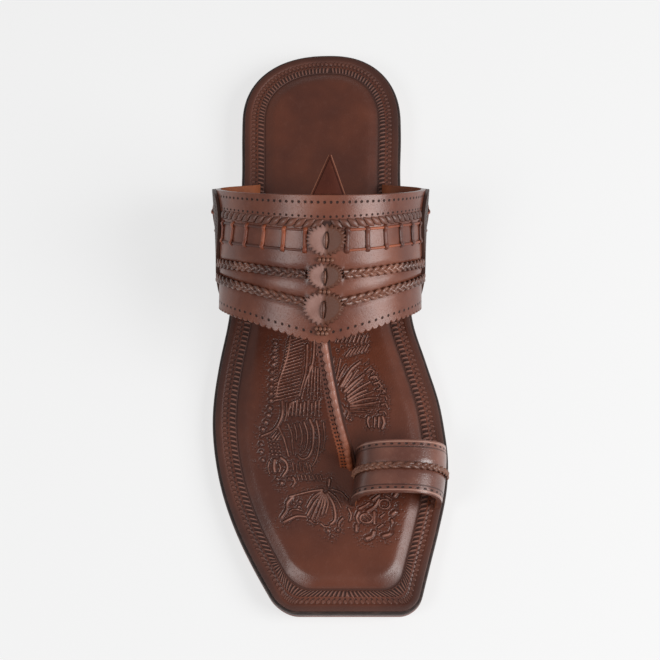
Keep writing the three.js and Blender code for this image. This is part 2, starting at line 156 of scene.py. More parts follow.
class Value:
    """A number that a material works out at each point, with Python's operators."""

    def __init__(self, graph: Graph, socket: bpy.types.NodeSocket) -> None:
        """Wraps an output socket of a graph."""
        self.graph = graph
        self.socket = socket

    def _math(self, operation: str, *operands: Value | float) -> Value:
        """Adds one Math node on the operands."""
        return self.graph.value("ShaderNodeMath", {"operation": operation}, dict(enumerate(operands)))

    def __add__(self, other: Value | float) -> Value:
        """The sum."""
        return self._math("ADD", self, other)

    def __radd__(self, other: float) -> Value:
        """The sum, from the right."""
        return self._math("ADD", other, self)

    def __sub__(self, other: Value | float) -> Value:
        """The difference."""
        return self._math("SUBTRACT", self, other)

    def __rsub__(self, other: float) -> Value:
        """The difference, from the right."""
        return self._math("SUBTRACT", other, self)

    def __mul__(self, other: Value | float) -> Value:
        """The product."""
        return self._math("MULTIPLY", self, other)

    def __abs__(self) -> Value:
        """The size without its sign."""
        return self._math("ABSOLUTE", self)

    def root(self) -> Value:
        """The square root."""
        return self._math("SQRT", self)

    def sine(self) -> Value:
        """The sine of an angle in radians."""
        return self._math("SINE", self)

    def fraction(self) -> Value:
        """The part after the point, from 0 to 1."""
        return self._math("FRACT", self)

    def step(self, low: float, high: float) -> Value:
        """A soft step from 0 at low to 1 at high, or down where low is above high."""
        if low > high:
            return 1 - self.step(high, low)
        sockets = {"Value": self, "From Min": low, "From Max": high}
        return self.graph.value("ShaderNodeMapRange", {"interpolation_type": "SMOOTHSTEP"}, sockets)

    def band(self, middle: float, half: float, soft: float) -> Value:
        """1 within half of middle, falling to 0 over a soft rim."""
        return abs(self - middle).step(half + soft, half)


Colour = tuple[float, float, float, float]


def srgb(red: int, green: int, blue: int) -> Colour:
    """A display colour, with channels up to 255, as the linear colour that shaders take."""

    def channel(value: int) -> float:
        """One channel's linear share."""
        share = value / 255
        return share / 12.92 if share <= 0.04045 else ((share + 0.055) / 1.055) ** 2.4

    return (channel(red), channel(green), channel(blue), 1.0)


class Graph:
    """The node graph of one material."""

    def __init__(self, name: str) -> None:
        """Makes a material with a bare shader.

        Args:
            name: The material's name.
        """
        self.material = bpy.data.materials.new(name)
        self.material.use_nodes = True
        self.tree = self.material.node_tree
        self.tree.nodes.clear()
        self.shader = self.node("ShaderNodeBsdfPrincipled")
        self.node("ShaderNodeOutputMaterial", sockets={"Surface": self.shader.outputs[0]})

    def node(
        self,
        kind: str,
        settings: Mapping[str, object] | None = None,
        sockets: Mapping[str | int, object] | None = None,
    ) -> bpy.types.Node:
        """Adds a node.

        Args:
            kind: The node's type.
            settings: Its settings, which are made first.
            sockets: The values or links of its inputs.

        Returns:
            The node.
        """
        node = self.tree.nodes.new(kind)
        for key, setting in (settings or {}).items():
            setattr(node, key, setting)
        for key, content in (sockets or {}).items():
            self.feed(node.inputs[key], content)
        return node

    def feed(self, socket: bpy.types.NodeSocket, content: object) -> None:
        """Links an input, or sets its value."""
        source = content.socket if isinstance(content, Value) else content
        if isinstance(source, bpy.types.NodeSocket):
            self.tree.links.new(source, socket)
        else:
            socket.default_value = source

    def dress(self, inputs: Mapping[str, object]) -> bpy.types.Material:
        """Feeds the shader's inputs by name, and gives the finished material."""
        for name, content in inputs.items():
            self.feed(self.shader.inputs[name], content)
        return self.material

    def value(
        self, kind: str, settings: Mapping[str, object], sockets: Mapping[str | int, object]
    ) -> Value:
        """Adds a node and takes its first output as a number."""
        return Value(self, self.node(kind, settings, sockets).outputs[0])

    def mix(self, share: Value | float, start: object, end: object) -> bpy.types.NodeSocket:
        """A colour between two colours."""
        sockets = {0: share, 6: start, 7: end}
        return self.node("ShaderNodeMix", {"data_type": "RGBA"}, sockets).outputs[2]

    def place(self) -> bpy.types.NodeSocket:
        """The point's place on the shoe, in metres."""
        return self.node("ShaderNodeTexCoord").outputs["Object"]

    def across(self) -> tuple[Value, Value, Value]:
        """The point's place on the shoe in millimetres, as three numbers."""
        parts = self.node("ShaderNodeSeparateXYZ", sockets={0: self.place()}).outputs
        x, y, z = (Value(self, part) * (1 / MM) for part in parts)
        return x, y, z

    def pattern(self) -> tuple[Value, Value]:
        """The point's place in its piece's own pattern, in millimetres along and across the rows."""
        uv = self.node("ShaderNodeUVMap", {"uv_map": PATTERN_MAP}).outputs[0]
        parts = self.node("ShaderNodeSeparateXYZ", sockets={0: uv}).outputs
        return Value(self, parts[0]), Value(self, parts[1])

    def attribute(self, name: str) -> Value:
        """A number that the mesh holds at its corners."""
        node = self.node("ShaderNodeAttribute", {"attribute_name": name})
        return Value(self, node.outputs["Fac"])

    def noise(self, size: float, detail: float = 2.0, roughness: float = 0.5) -> Value:
        """Cloudy variation.

        Args:
            size: The size of its patches in millimetres.
            detail: How many finer layers it has.
            roughness: How strong the finer layers are.

        Returns:
            A number about 0.5, mostly between 0.3 and 0.7.
        """
        sockets = {
            "Vector": self.place(),
            "Scale": 1 / (size * MM),
            "Detail": detail,
            "Roughness": roughness,
        }
        return self.value("ShaderNodeTexNoise", {}, sockets)

    def cells(self, size: float) -> Value:
        """Distance from the middles of small cells, as leather's grain has."""
        sockets = {"Vector": self.place(), "Scale": 1 / (size * MM)}
        return self.value("ShaderNodeTexVoronoi", {}, sockets)

    def bump(self, height: Value) -> bpy.types.NodeSocket:
        """The normal over a relief given in millimetres."""
        return self.node("ShaderNodeBump", sockets={"Distance": MM, "Height": height}).outputs[0]


class Mark(Enum):
    """What a tool leaves in a row along a strap; a dark line without depth is only a band of darker colour,
    which in places paints shade.
    """

    HOLE = "punched hole"
    SLASH = "slanted cut"
    BEAD = "stamped bead"
    # a crease where it has depth; with none, only a flat band of darker colour
    DARK_LINE = "creased line"


@dataclass(frozen=True)
class Row:
    """A row of marks at a distance across a piece's pattern."""

    mark: Mark
    at: float
    pitch: float = 3.7
    width: float = 0.6
    length: float = 0.6
    slant: float = 0.0
    depth: float = 0.35
    tint: float = 0.9
    shift: float = 0.0

    def mask(self, u: Value, v: Value) -> Value:
        """Where the marks are.

        Args:
            u: The place along the row.
            v: The place across it.

        Returns:
            1 in the marks and 0 outside them.
        """
        across = v - self.at
        if self.mark is Mark.DARK_LINE:
            return abs(across).step(self.width, self.width * 0.3)
        turns = (u + across * self.slant) * (1 / self.pitch) + self.shift
        along = turns.fraction() * self.pitch - self.pitch / 2
        if self.mark is Mark.SLASH:
            inside = abs(along).step(self.width, self.width * 0.5)
            return inside * abs(across).step(self.length, self.length * 0.8)
        along = along * (1 / self.width)
        across = across * (1 / self.length)
        return (along * along + across * across).root().step(1.15, 0.65)


@dataclass(frozen=True)
class Fade:
    """A change of colour along a strap, from one place to another."""

    colour: Colour
    start: float
    end: float


@dataclass(frozen=True)
class Leather:
    """Polished vegetable-tanned leather."""

    name: str
    base: Colour
    deep: Colour
    worn: Colour
    mark: Colour = srgb(34, 17, 13)
    roughness: float = 0.4
    gloss: float = 0.4
    coat: float = 0.18
    coat_roughness: float = 0.3
    grain: float = 0.9
    grain_depth: float = 0.035
    mottle: float = 26.0
    rubbed: float = 0.16
    rows: tuple[Row, ...] = ()
    edges: tuple[tuple[float, float], ...] = ()
    edge_tint: float = 0.6
    fade: Fade | None = None
    fade_share: float = 0.85
    pore_tint: float = 0.14
    patch_swing: float = 0.16
    fine_swing: float = 0.12

    def shade(self, graph: Graph) -> tuple[object, Value, Value]:
        """Colour, roughness and relief of the bare leather.

        Args:
            graph: The material's graph.

        Returns:
            The colour, the roughness and the relief in millimetres.
        """
        patches = graph.noise(self.mottle, 3.0, 0.6)
        fine = graph.noise(self.grain * 3.2, 4.0, 0.65)
        pores = graph.cells(self.grain)
        colour = graph.mix(patches.step(0.32, 0.7), self.deep, self.base)
        colour = graph.mix(fine.step(0.5, 0.85) * self.rubbed, colour, self.worn)
        colour = graph.mix(pores.step(0.35, 0.05) * self.pore_tint, colour, self.deep)
        rough = self.roughness + (patches - 0.5) * self.patch_swing + (fine - 0.5) * self.fine_swing
        relief = (1 - pores.step(0.5, 0.08)) * self.grain_depth + fine * (self.grain_depth * 2.0)
        return colour, rough, relief

    def build(self) -> bpy.types.Material:
        """Makes the material.

        Returns:
            The material, with the leather's rows of marks on it.
        """
        graph = Graph(self.name)
        colour, rough, relief = self.shade(graph)
        coat: Value | float = self.coat
        if self.rows or self.edges or self.fade:
            u, v = graph.pattern()
            if self.fade:
                share = u.step(self.fade.start, self.fade.end)
                colour = graph.mix(share * self.fade_share, colour, self.fade.colour)
            for row in self.rows:
                mask = row.mask(u, v)
                if row.mark is Mark.BEAD:
                    # raised beads take the worn colour: partly wear on the raised leather, partly a painted
                    # highlight
                    colour = graph.mix(mask * row.tint, colour, self.worn)
                    relief = relief + mask * row.depth
                else:
                    colour = graph.mix(mask * row.tint, colour, self.mark)
                    relief = relief - mask * row.depth
                    rough = rough + mask * (row.tint * 0.5)
                    coat = (1 - mask * row.tint) * coat
            for at, width in self.edges:
                colour = graph.mix(v.band(at, width, 0.2) * self.edge_tint, colour, self.worn)
        inputs = {
            "Base Color": colour,
            "Roughness": rough,
            "Specular IOR Level": self.gloss,
            "Coat Weight": coat,
            "Coat Roughness": self.coat_roughness,
            "Normal": graph.bump(relief),
        }
        return graph.dress(inputs)


@dataclass(frozen=True)
class TooledLeather(Leather):
    """Leather with freehand tooling.

    Its mesh holds the distance from the nearest stroke, in half widths of that stroke.
    """

    relief: float = 0.3
    stipple: float = 1.25
    dent_depth: float = 0.12
    dent_tint: float = 0.3
    dark_line_tint: float = 0.3
    polish: float = 0.05

    def shade(self, graph: Graph) -> tuple[object, Value, Value]:
        """The same, with raised strokes on a stippled ground: the strokes painted light, partly as rubbed
        wear and partly as a painted highlight, and painted shade in the grooves, the dents and the ground
        near the strokes.
        """
        colour, rough, relief = super().shade(graph)
        gap = graph.attribute("tooling")
        ridge = gap.step(1.2, 0.35)
        groove = gap.band(1.9, 0.2, 0.7)
        # the share of light paint on the raised strokes: rubbed wear and a painted highlight together
        rubbed = graph.noise(7.0, 2.0).step(0.3, 0.62) * 0.46 + 0.16
        ground = gap.step(8.6, 5.0) * (1 - ridge)
        dents = graph.cells(self.stipple).step(0.55, 0.2) * ground
        # painted shade near the strokes and on the stippled ground
        colour = graph.mix(gap.step(3.6, 1.2) * 0.2 + ground * 0.14, colour, self.deep)
        # painted shade in the stippled dents
        colour = graph.mix(dents * self.dent_tint, colour, self.mark)
        # painted shade in the grooves beside the strokes
        colour = graph.mix(groove * self.dark_line_tint, colour, self.mark)
        # raised strokes painted light: partly rubbed wear, partly a painted highlight
        colour = graph.mix(ridge * rubbed, colour, self.worn)
        relief = relief + ridge * self.relief - groove * (self.relief * 0.6) - dents * self.dent_depth
        return colour, rough - ridge * self.polish, relief


@cache
def leather(finish: Leather) -> bpy.types.Material:
    """The one material of a leather, made when it is first asked for."""
    return finish.build()


@dataclass(frozen=True)
class BoardEdge:
    """Burnished edge of a leather board, in thin dark layers."""

    name: str
    base: Colour = srgb(44, 33, 31)
    layer: Colour = srgb(70, 52, 46)
    layers_a_mm: float = 2.6

    def build(self) -> bpy.types.Material:
        """Makes the material.

        Returns:
            The material, with layers that follow the floor.
        """
        graph = Graph(self.name)
        _x, _y, z = graph.across()
        wander = graph.noise(30.0, 2.0)
        layers = ((z * self.layers_a_mm + wander * 5.0).fraction() - 0.5) * 2
        lines = abs(layers).step(0.35, 0.95)
        fibre = graph.noise(0.9, 3.0)
        colour = graph.mix(lines * 0.6 + fibre * 0.3, self.base, self.layer)
        relief = graph.bump(lines * 0.05 + fibre * 0.08)
        return graph.dress({"Base Color": colour, "Roughness": fibre * 0.3 + 0.35, "Normal": relief})


@dataclass(frozen=True)
class SoleRubber:
    """Matt moulded rubber with a ribbed tread underneath and a trimmed edge."""

    name: str
    base: Colour = srgb(150, 104, 94)
    dull: Colour = srgb(122, 84, 77)
    dust: Colour = srgb(176, 138, 126)
    rib: float = 4.0
    rib_slant: float = 0.55
    rib_depth: float = 0.5

    def build(self) -> bpy.types.Material:
        """Makes the material.

        Returns:
            The material, with its tread where the pattern says that the face is underneath.
        """
        graph = Graph(self.name)
        x, y, z = graph.across()
        _u, v = graph.pattern()
        under = v.step(5.0, 6.0)
        chevron = ((y + abs(x) * self.rib_slant) * (1 / self.rib)).fraction()
        ribs = abs(chevron - 0.5).step(0.16, 0.26) * under
        trim = ((z + graph.noise(60.0) * 1.5) * 1.7).sine() * (1 - under)
        patches = graph.noise(18.0, 3.0, 0.6)
        speck = graph.noise(0.7, 2.0)
        colour = graph.mix(patches.step(0.35, 0.68), self.dull, self.base)
        colour = graph.mix(speck.step(0.6, 0.75) * 0.35, colour, self.dust)
        colour = graph.mix(ribs * 0.45, colour, self.dull)
        relief = graph.bump(speck * 0.06 - ribs * self.rib_depth + trim * 0.03)
        return graph.dress({"Base Color": colour, "Roughness": patches * 0.2 + 0.55, "Normal": relief})


@dataclass(frozen=True)
class Paper:
    """The studio's pale floor."""

    name: str = "studio_floor"
    tone: Colour = srgb(128, 128, 128)
    lit: Colour = srgb(214, 214, 214)

    def build(self) -> bpy.types.Material:
        """Makes the material, lit evenly from below as well, as a light table is."""
        graph = Graph(self.name)
        inputs = {
            "Base Color": self.tone,
            "Emission Color": self.lit,
            "Emission Strength": 1.0,
            "Roughness": graph.noise(200.0) * 0.1 + 0.75,
        }
        return graph.dress(inputs)


# meshes


class Piece:
    """A mesh in the making, in millimetres."""

    bevel_steps: int = 2
    bevel_angle: float = 50.0

    def __init__(self, bm: bmesh.types.BMesh) -> None:
        """Takes over a mesh."""
        self.bm = bm

    @classmethod
    def block(
        cls,
        columns: int,
        rows: int,
        layers: int,
        place: Place,
        pattern: Pattern | None = None,
        lined: bool = False,
    ) -> Piece:
        """A closed block of cells whose corners are placed one by one.

        Args:
            columns: Its cells along X.
            rows: Its cells along Y.
            layers: Its cells along Z.
            place: Gives the place of a corner.
            pattern: Gives the corner's place in the piece's own pattern.
            lined: Whether its lowest layer's faces take the second material.

        Returns:
            The block.
        """
        bm = bmesh.new()
        bmesh.ops.create_cube(bm, size=1.0)
        counts = (columns, rows, layers)
        for axis, count in enumerate(counts):
            if count > 1:
                edges = [e for e in bm.edges if abs((e.verts[0].co - e.verts[1].co)[axis]) > 0.5]
                bmesh.ops.subdivide_edges(bm, edges=edges, cuts=count - 1, use_grid_fill=True)
        cells = [tuple(round((v.co[i] + 0.5) * counts[i]) for i in range(3)) for v in bm.verts]
        if pattern:
            uv = bm.loops.layers.uv.new(PATTERN_MAP)
            spots = [pattern(*cell) for cell in cells]
            for face in bm.faces:
                for loop in face.loops:
                    loop[uv].uv = spots[loop.vert.index]
        if lined:
            for face in bm.faces:
                face.material_index = int(all(cells[v.index][2] == 0 for v in face.verts))
        for vertex, cell in zip(bm.verts, cells):
            vertex.co = place(*cell)
        return cls(bm)

    @classmethod
    def rod(
        cls, sides: int, steps: int, place: Callable[[float, int], Vector], span: float = 0.0
    ) -> Piece:
        """A closed rod whose rings are placed one by one.

        Args:
            sides: The corners of a ring.
            steps: The rings' count, less one.
            place: Gives the place of a corner from its angle and its ring.
            span: The rod's length, along which its pattern runs.

        Returns:
            The rod.
        """
        bm = bmesh.new()
        bmesh.ops.create_cone(bm, cap_ends=True, segments=sides, radius1=1.0, radius2=1.0, depth=1.0)
        edges = [e for e in bm.edges if abs(e.verts[0].co.z - e.verts[1].co.z) > 0.5]
        bmesh.ops.subdivide_edges(bm, edges=edges, cuts=steps - 1, use_grid_fill=True)
        cells = [(math.atan2(v.co.y, v.co.x), round((v.co.z + 0.5) * steps)) for v in bm.verts]
        uv = bm.loops.layers.uv.new(PATTERN_MAP)
        for face in bm.faces:
            for loop in face.loops:
                angle, step = cells[loop.vert.index]
                loop[uv].uv = (span * step / steps, math.cos(angle))
        for vertex, cell in zip(bm.verts, cells):
            vertex.co = place(*cell)
        return cls(bm)

    @classmethod
    def joined(cls, pieces: Sequence[Piece]) -> Piece:
        """Several pieces in one mesh.

        Args:
            pieces: The pieces, which are used up.

        Returns:
            The one piece.
        """
        bm = bmesh.new()
        for piece in pieces:
            part = bpy.data.meshes.new("part")
            piece.bm.to_mesh(part)
            piece.bm.free()
            bm.from_mesh(part)
            bpy.data.meshes.remove(part)
        return cls(bm)

    def finish(
        self,
        name: str,
        slot: str,
        nodes: Sequence[str],
        materials: Sequence[bpy.types.Material],
        bevel: float = 0.0,
        sharp: float = 45.0,
    ) -> bpy.types.Object:
        """Makes the scene's object from the mesh.

        Args:
            name: The object's name.
            slot: The record's material slot; not used.
            nodes: The CAD nodes that it stands for.
            materials: Its materials.
            bevel: The rounding of its sharp edges.
            sharp: The angle in degrees past which an edge stays sharp.

        Returns:
            The object.
        """
        bmesh.ops.recalc_face_normals(self.bm, faces=self.bm.faces)
        bmesh.ops.scale(self.bm, vec=(MM, MM, MM), verts=self.bm.verts)
        mesh = bpy.data.meshes.new(name)
        self.bm.to_mesh(mesh)
        self.bm.free()
        for material in materials:
            mesh.materials.append(material)
        mesh.shade_smooth()
        mesh.set_sharp_from_angle(angle=math.radians(sharp))
        piece = bpy.data.objects.new(name, mesh)
        bpy.context.scene.collection.objects.link(piece)
        if bevel:
            rounding = piece.modifiers.new("rounding", "BEVEL")
            rounding.width = bevel * MM
            rounding.segments = self.bevel_steps
            rounding.limit_method = "ANGLE"
            rounding.angle_limit = math.radians(self.bevel_angle)
        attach(piece, "root")
        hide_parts(*nodes)
        LOG.info("%s: %d faces", name, len(mesh.polygons))
        return piece


# the sole


class Run(Enum):
    """The runs of the sole's outline, from the toe to the heel."""

    TOE = "toe corner"
    NECK = "behind the corner"
    SIDE = "side"
    HEEL = "heel round"


@dataclass(frozen=True)
class Station:
    """A row across the sole: its run and its place in the run."""

    run: Run
    at: float


@dataclass(frozen=True)
class SoleForm:
    """Outline and levels of the sole, which every other piece stands on."""

    length: float = 288.0
    ball_width: float = 112.0
    heel_round: float = 39.0
    heel_squareness: float = 2.3
    heel_turn: float = 88.5
    toe_corner: float = 8.5
    least_corner: float = 3.0
    pad_round: float = 6.0
    pad_growth: float = 0.8
    corner_room: float = 0.7
    toe_run: float = 26.0
    outsole_thickness: float = 4.3
    midsole_thickness: float = 2.2
    insole_thickness: float = 1.5
    layer_gap: float = 0.3
    heel_lift: float = 4.2
    lift_end: float = 73.0
    lift_run: float = 105.0
    heel_breast: float = 58.5
    breast_height: float = 3.6
    back_bevel: float = 1.4
    back_bevel_run: float = 14.0
    tread_end: float = -8.6
    tread_step: float = 1.2
    toe_spring: float = 4.0
    spring_run: float = 82.0
    toe_rows: int = 10
    neck_rows: int = 8
    heel_rows: int = 26
    row_room: float = 0.6
    lateral: Curve = Curve(
        (0.0, 0.16, 0.24, 0.36, 0.5, 0.575, 0.64, 0.69, 0.745, 0.8, 0.86, 0.92, 1.0),
        (0.396, 0.397, 0.394, 0.403, 0.442, 0.477, 0.498, 0.5, 0.484, 0.452, 0.396, 0.321, 0.204),
    )
    medial: Curve = Curve(
        (0.0, 0.16, 0.24, 0.36, 0.5, 0.575, 0.64, 0.69, 0.745, 0.8, 0.86, 0.92, 1.0),
        (0.318, 0.321, 0.315, 0.324, 0.36, 0.416, 0.465, 0.487, 0.5, 0.489, 0.455, 0.414, 0.36),
    )

    @property
    def heel_end(self) -> float:
        """Y of the back of the heel."""
        return self.length / 2

    @property
    def toe_end(self) -> float:
        """Y of the toe."""
        return -self.length / 2

    def edge(self, y: float, side: int) -> float:
        """Half width of the sole on one side."""
        curve = self.lateral if side < 0 else self.medial
        return self.ball_width * curve((self.heel_end - y) / self.length)

    def spring(self, y: float) -> float:
        """How far the toe springs off the floor."""
        share = max(0.0, self.toe_end + self.spring_run - y) / self.spring_run
        return self.toe_spring * share * share

    def outsole_top(self, y: float) -> float:
        """Level of the outsole's top."""
        lift = self.heel_lift * smooth(y, self.lift_end - self.lift_run, self.lift_end)
        return self.outsole_thickness + lift + self.spring(y)

    def outsole_bottom(self, y: float) -> float:
        """Level of the outsole's underside, with its heel, waist and tread.

        Args:
            y: The place along the sole.

        Returns:
            The level above the floor.
        """
        if y >= self.heel_breast:
            share = clamp((y - self.heel_end + self.back_bevel_run) / self.back_bevel_run)
            return self.back_bevel * share * share
        if y > self.tread_end:
            share = (y - self.tread_end) / (self.heel_breast - self.tread_end)
            return lerp(self.tread_step, self.breast_height, share)
        return self.spring(y)

    def midsole_top(self, y: float) -> float:
        """Level of the midsole's top."""
        return self.outsole_top(y) + self.layer_gap + self.midsole_thickness

    def insole_bottom(self, y: float) -> float:
        """Level of the insole's underside."""
        return self.midsole_top(y) + self.layer_gap

    def insole_top(self, y: float) -> float:
        """Level of the insole's flat border."""
        return self.insole_bottom(y) + self.insole_thickness

    def stations(self, spacing: Shape, breaks: Sequence[float] = ()) -> list[Station]:
        """The rows across the sole from the toe to the heel.

        Args:
            spacing: The distance between rows at a place along the sole.
            breaks: Places that get a close pair of rows, for a step in the level.

        Returns:
            The rows.
        """
        rows = [Station(Run.TOE, i / self.toe_rows) for i in range(self.toe_rows + 1)]
        rows += [Station(Run.NECK, i / self.neck_rows) for i in range(1, self.neck_rows)]
        y = self.toe_end + self.toe_run
        end = self.heel_end - self.heel_round
        places = list(breaks)
        while y < end:
            if all(abs(y - other) > self.row_room for other in breaks):
                places.append(y)
            y += spacing(y)
        rows += [Station(Run.SIDE, place) for place in sorted(places)]
        turn = math.radians(self.heel_turn)
        rows += [Station(Run.HEEL, turn * i / self.heel_rows) for i in range(self.heel_rows + 1)]
        return rows

    def outline(self, station: Station, side: int, inset: float) -> Vector:
        """A point of the outline, set in by a distance.

        Args:
            station: The row.
            side: -1 on the little toe side, 1 on the big toe side.
            inset: How far in from the edge.

        Returns:
            The point, at the floor's level.
        """
        corner = max(self.toe_corner - inset, self.least_corner)
        growth = self.pad_growth * max(0.0, inset - self.pad_round)
        room = max(0.0, self.toe_run - self.corner_room - inset - corner)
        corner += min(growth, room)
        trim, narrow = 0.0, 1.0
        if station.run is Run.TOE:
            turn = station.at * math.pi / 2
            y = self.toe_end + inset + corner * (1 - math.cos(turn))
            trim = corner * (1 - math.sin(turn))
        elif station.run is Run.NECK:
            y = lerp(self.toe_end + inset + corner, self.toe_end + self.toe_run, station.at)
        elif station.run is Run.SIDE:
            y = station.at
        else:
            power = 2 / self.heel_squareness
            y = self.heel_end - self.heel_round + (self.heel_round - inset) * math.sin(station.at) ** power
            narrow = math.cos(station.at) ** power
        slope = (self.edge(y + 1, side) - self.edge(y - 1, side)) / 2
        set_in = inset * math.hypot(1, slope)
        return Vector((side * ((self.edge(y, side) - set_in) * narrow - trim), y, 0))

    def lengths(self, stations: Sequence[Station], side: int) -> list[float]:
        """Length along the edge from the toe's middle to each row.

        Args:
            stations: The rows.
            side: -1 on the little toe side, 1 on the big toe side.

        Returns:
            One length for each row.
        """
        points = [self.outline(station, side, 0.0) for station in stations]
        half_toe = (points[0] - self.outline(stations[0], -side, 0.0)).length / 2
        return running_lengths(points, half_toe)


@dataclass(frozen=True)
class Ring:
    """One ring of a sole layer: how far in it is and its level."""

    inset: float
    level: Shape


def sole_layer(
    form: SoleForm, stations: Sequence[Station], rings: Sequence[Ring], columns: int
) -> Piece:
    """A layer of the sole from rings, with a fine mesh on top and strips below.

    Args:
        form: The sole's form.
        stations: The rows across the sole.
        rings: The rings from the bottom to the top.
        columns: The cells across the sole.

    Returns:
        The layer.
    """
    lengths = {side: form.lengths(stations, side) for side in (-1, 1)}
    ends = [[form.outline(s, side, ring.inset) for s in stations] for ring in rings for side in (-1, 1)]
    last = len(stations) - 1

    def place(column: int, row: int, layer: int) -> Vector:
        """A corner between the two edges of its ring."""
        left, right = ends[2 * layer][row], ends[2 * layer + 1][row]
        point = left.lerp(right, column / columns)
        point.z = rings[layer].level(point.y)
        return point

    def pattern(column: int, row: int, layer: int) -> tuple[float, float]:
        """Length along the edge, and distance in from it."""
        side = -1 if column <= columns / 2 else 1
        along = lengths[side][row]
        if row in (0, last):
            half = abs(2 * column / columns - 1)
            along = along * half if row == 0 else along + (1 - half)
        return along, rings[layer].inset

    return Piece.block(columns, len(stations) - 1, len(rings) - 1, place, pattern)


@dataclass
class Sole:
    """Outsole and midsole."""

    form: SoleForm
    edge_bevel: float = 0.9
    board_bevel: float = 0.4
    tread_inset: float = 6.0
    break_step: float = 0.8
    spacing: float = 3.0
    columns: int = 12

    def outsole(self) -> bpy.types.Object:
        """The moulded outsole with its heel, waist and tread."""
        form = self.form
        step = self.break_step
        breaks = (form.heel_breast, form.heel_breast - step, form.tread_end, form.tread_end + step)
        stations = form.stations(lambda _y: self.spacing, breaks)
        rings = [
            Ring(self.tread_inset, form.outsole_bottom),
            Ring(self.edge_bevel, form.outsole_bottom),
            Ring(0.25, lambda y: form.outsole_bottom(y) + 0.3),
            Ring(0.0, lambda y: form.outsole_bottom(y) + self.edge_bevel),
            Ring(0.0, lambda y: form.outsole_top(y) - 0.3),
            Ring(0.3, form.outsole_top),
        ]
        piece = sole_layer(form, stations, rings, self.columns)
        return piece.finish("outsole_tread", "outsole", ["outsole"], [SoleRubber("rubber").build()])

    def midsole(self) -> bpy.types.Object:
        """The dark leather board."""
        form = self.form
        rings = [
            Ring(0.2, lambda y: form.outsole_top(y) + 0.02),
            Ring(0.0, lambda y: form.outsole_top(y) + 0.3),
            Ring(0.0, lambda y: form.midsole_top(y) - self.board_bevel),
            Ring(0.12, lambda y: form.midsole_top(y) - 0.12),
            Ring(self.board_bevel, lambda y: form.midsole_top(y) + 0.25),
        ]
        piece = sole_layer(form, form.stations(lambda _y: self.spacing), rings, self.columns)
        return piece.finish("midsole_board", "midsole", ["midsole"], [BoardEdge("board_edge").build()])


STROKE_STEP = 0.9
DOT_LENGTH = 0.01
OVAL_POINTS = 10

INSOLE_LEATHER = TooledLeather(
    "insole_leather",
    base=srgb(99, 50, 32),
    deep=srgb(76, 37, 25),
    worn=srgb(174, 124, 108),
    mark=srgb(34, 14, 10),
    roughness=0.34,
    gloss=0.46,
    coat=0.2,
    mottle=40.0,
    rubbed=0.05,
    rows=(
        # the first two lines have no depth: they only make the border darker towards its outer edge, and
        # around the slashed row up to the bevel's foot
        Row(Mark.DARK_LINE, 1.4, width=4.2, depth=0.0, tint=0.5),
        Row(Mark.DARK_LINE, 10.6, width=3.0, depth=0.0, tint=0.3),
        Row(Mark.DARK_LINE, 5.8, width=1.7, depth=0.25, tint=0.2),
        Row(Mark.BEAD, 5.8, pitch=2.45, width=0.8, length=1.0, depth=0.45, tint=0.12),
        Row(Mark.HOLE, 7.1, pitch=2.45, width=0.5, length=0.5, depth=0.3, tint=0.6),
        Row(Mark.SLASH, 9.5, pitch=2.3, width=0.58, length=1.5, slant=0.25, depth=0.45, tint=0.72),
        # lighter raised bars between the slashes: partly wear, partly a painted highlight
        Row(Mark.BEAD, 9.5, pitch=2.3, width=0.55, length=1.6, slant=0.25, depth=0.35, tint=0.3, shift=0.5),
        Row(Mark.DARK_LINE, 11.5, width=0.5, depth=0.2, tint=0.42),
    ),
)


@dataclass(frozen=True)
class Stroke:
    """A freehand stroke of the tooling: its half width at its start and end, and its points."""

    start: float
    end: float
    points: tuple[tuple[float, float], ...]

    def path(self) -> list[tuple[np.ndarray, float]]:
        """Close points on the smooth curve through the stroke's points, with its half width there.

        Returns:
            The points and half widths.
        """
        knots = [np.array(point) for point in self.points]
        if len(knots) == 1:
            return [(knots[0], self.start), (knots[0] + DOT_LENGTH, self.start)]
        ends = [knots[0] * 2 - knots[1], *knots, knots[-1] * 2 - knots[-2]]
        path = []
        for p0, p1, p2, p3 in zip(ends, ends[1:], ends[2:], ends[3:]):
            count = max(2, int(np.hypot(*(p2 - p1)) / STROKE_STEP))
            path += [blend(p1, p2, (p2 - p0) / 2, (p3 - p1) / 2, i / count) for i in range(count)]
        path.append(knots[-1])
        last = len(path) - 1
        return [(point, lerp(self.start, self.end, i / last)) for i, point in enumerate(path)]


def stroke(width: float, *points: tuple[float, float]) -> Stroke:
    """A stroke that tapers a little towards its end."""
    return Stroke(width, width * 0.7, points)


def dots(size: float, pitch: float, *points: tuple[float, float]) -> tuple[Stroke, ...]:
    """Round stamps at a pitch along a line.

    Args:
        size: The half width of a stamp.
        pitch: The distance between stamps.
        points: The points that the line goes through.

    Returns:
        The stamps.
    """
    line = stroke(size, *points).path()
    stamps, travelled = [], pitch
    for (before, _), (after, _) in pairwise(line):
        travelled += float(np.hypot(*(after - before)))
        if travelled >= pitch:
            stamps.append(Stroke(size, size, (tuple(after),)))
            travelled = 0.0
    return tuple(stamps)


def oval(width: float, centre: tuple[float, float], reach: tuple[float, float]) -> Stroke:
    """A closed oval stroke."""
    turns = [2 * math.pi * i / OVAL_POINTS for i in range(OVAL_POINTS + 1)]
    ring = tuple((centre[0] + reach[0] * math.cos(t), centre[1] + reach[1] * math.sin(t)) for t in turns)
    return Stroke(width, width, ring)


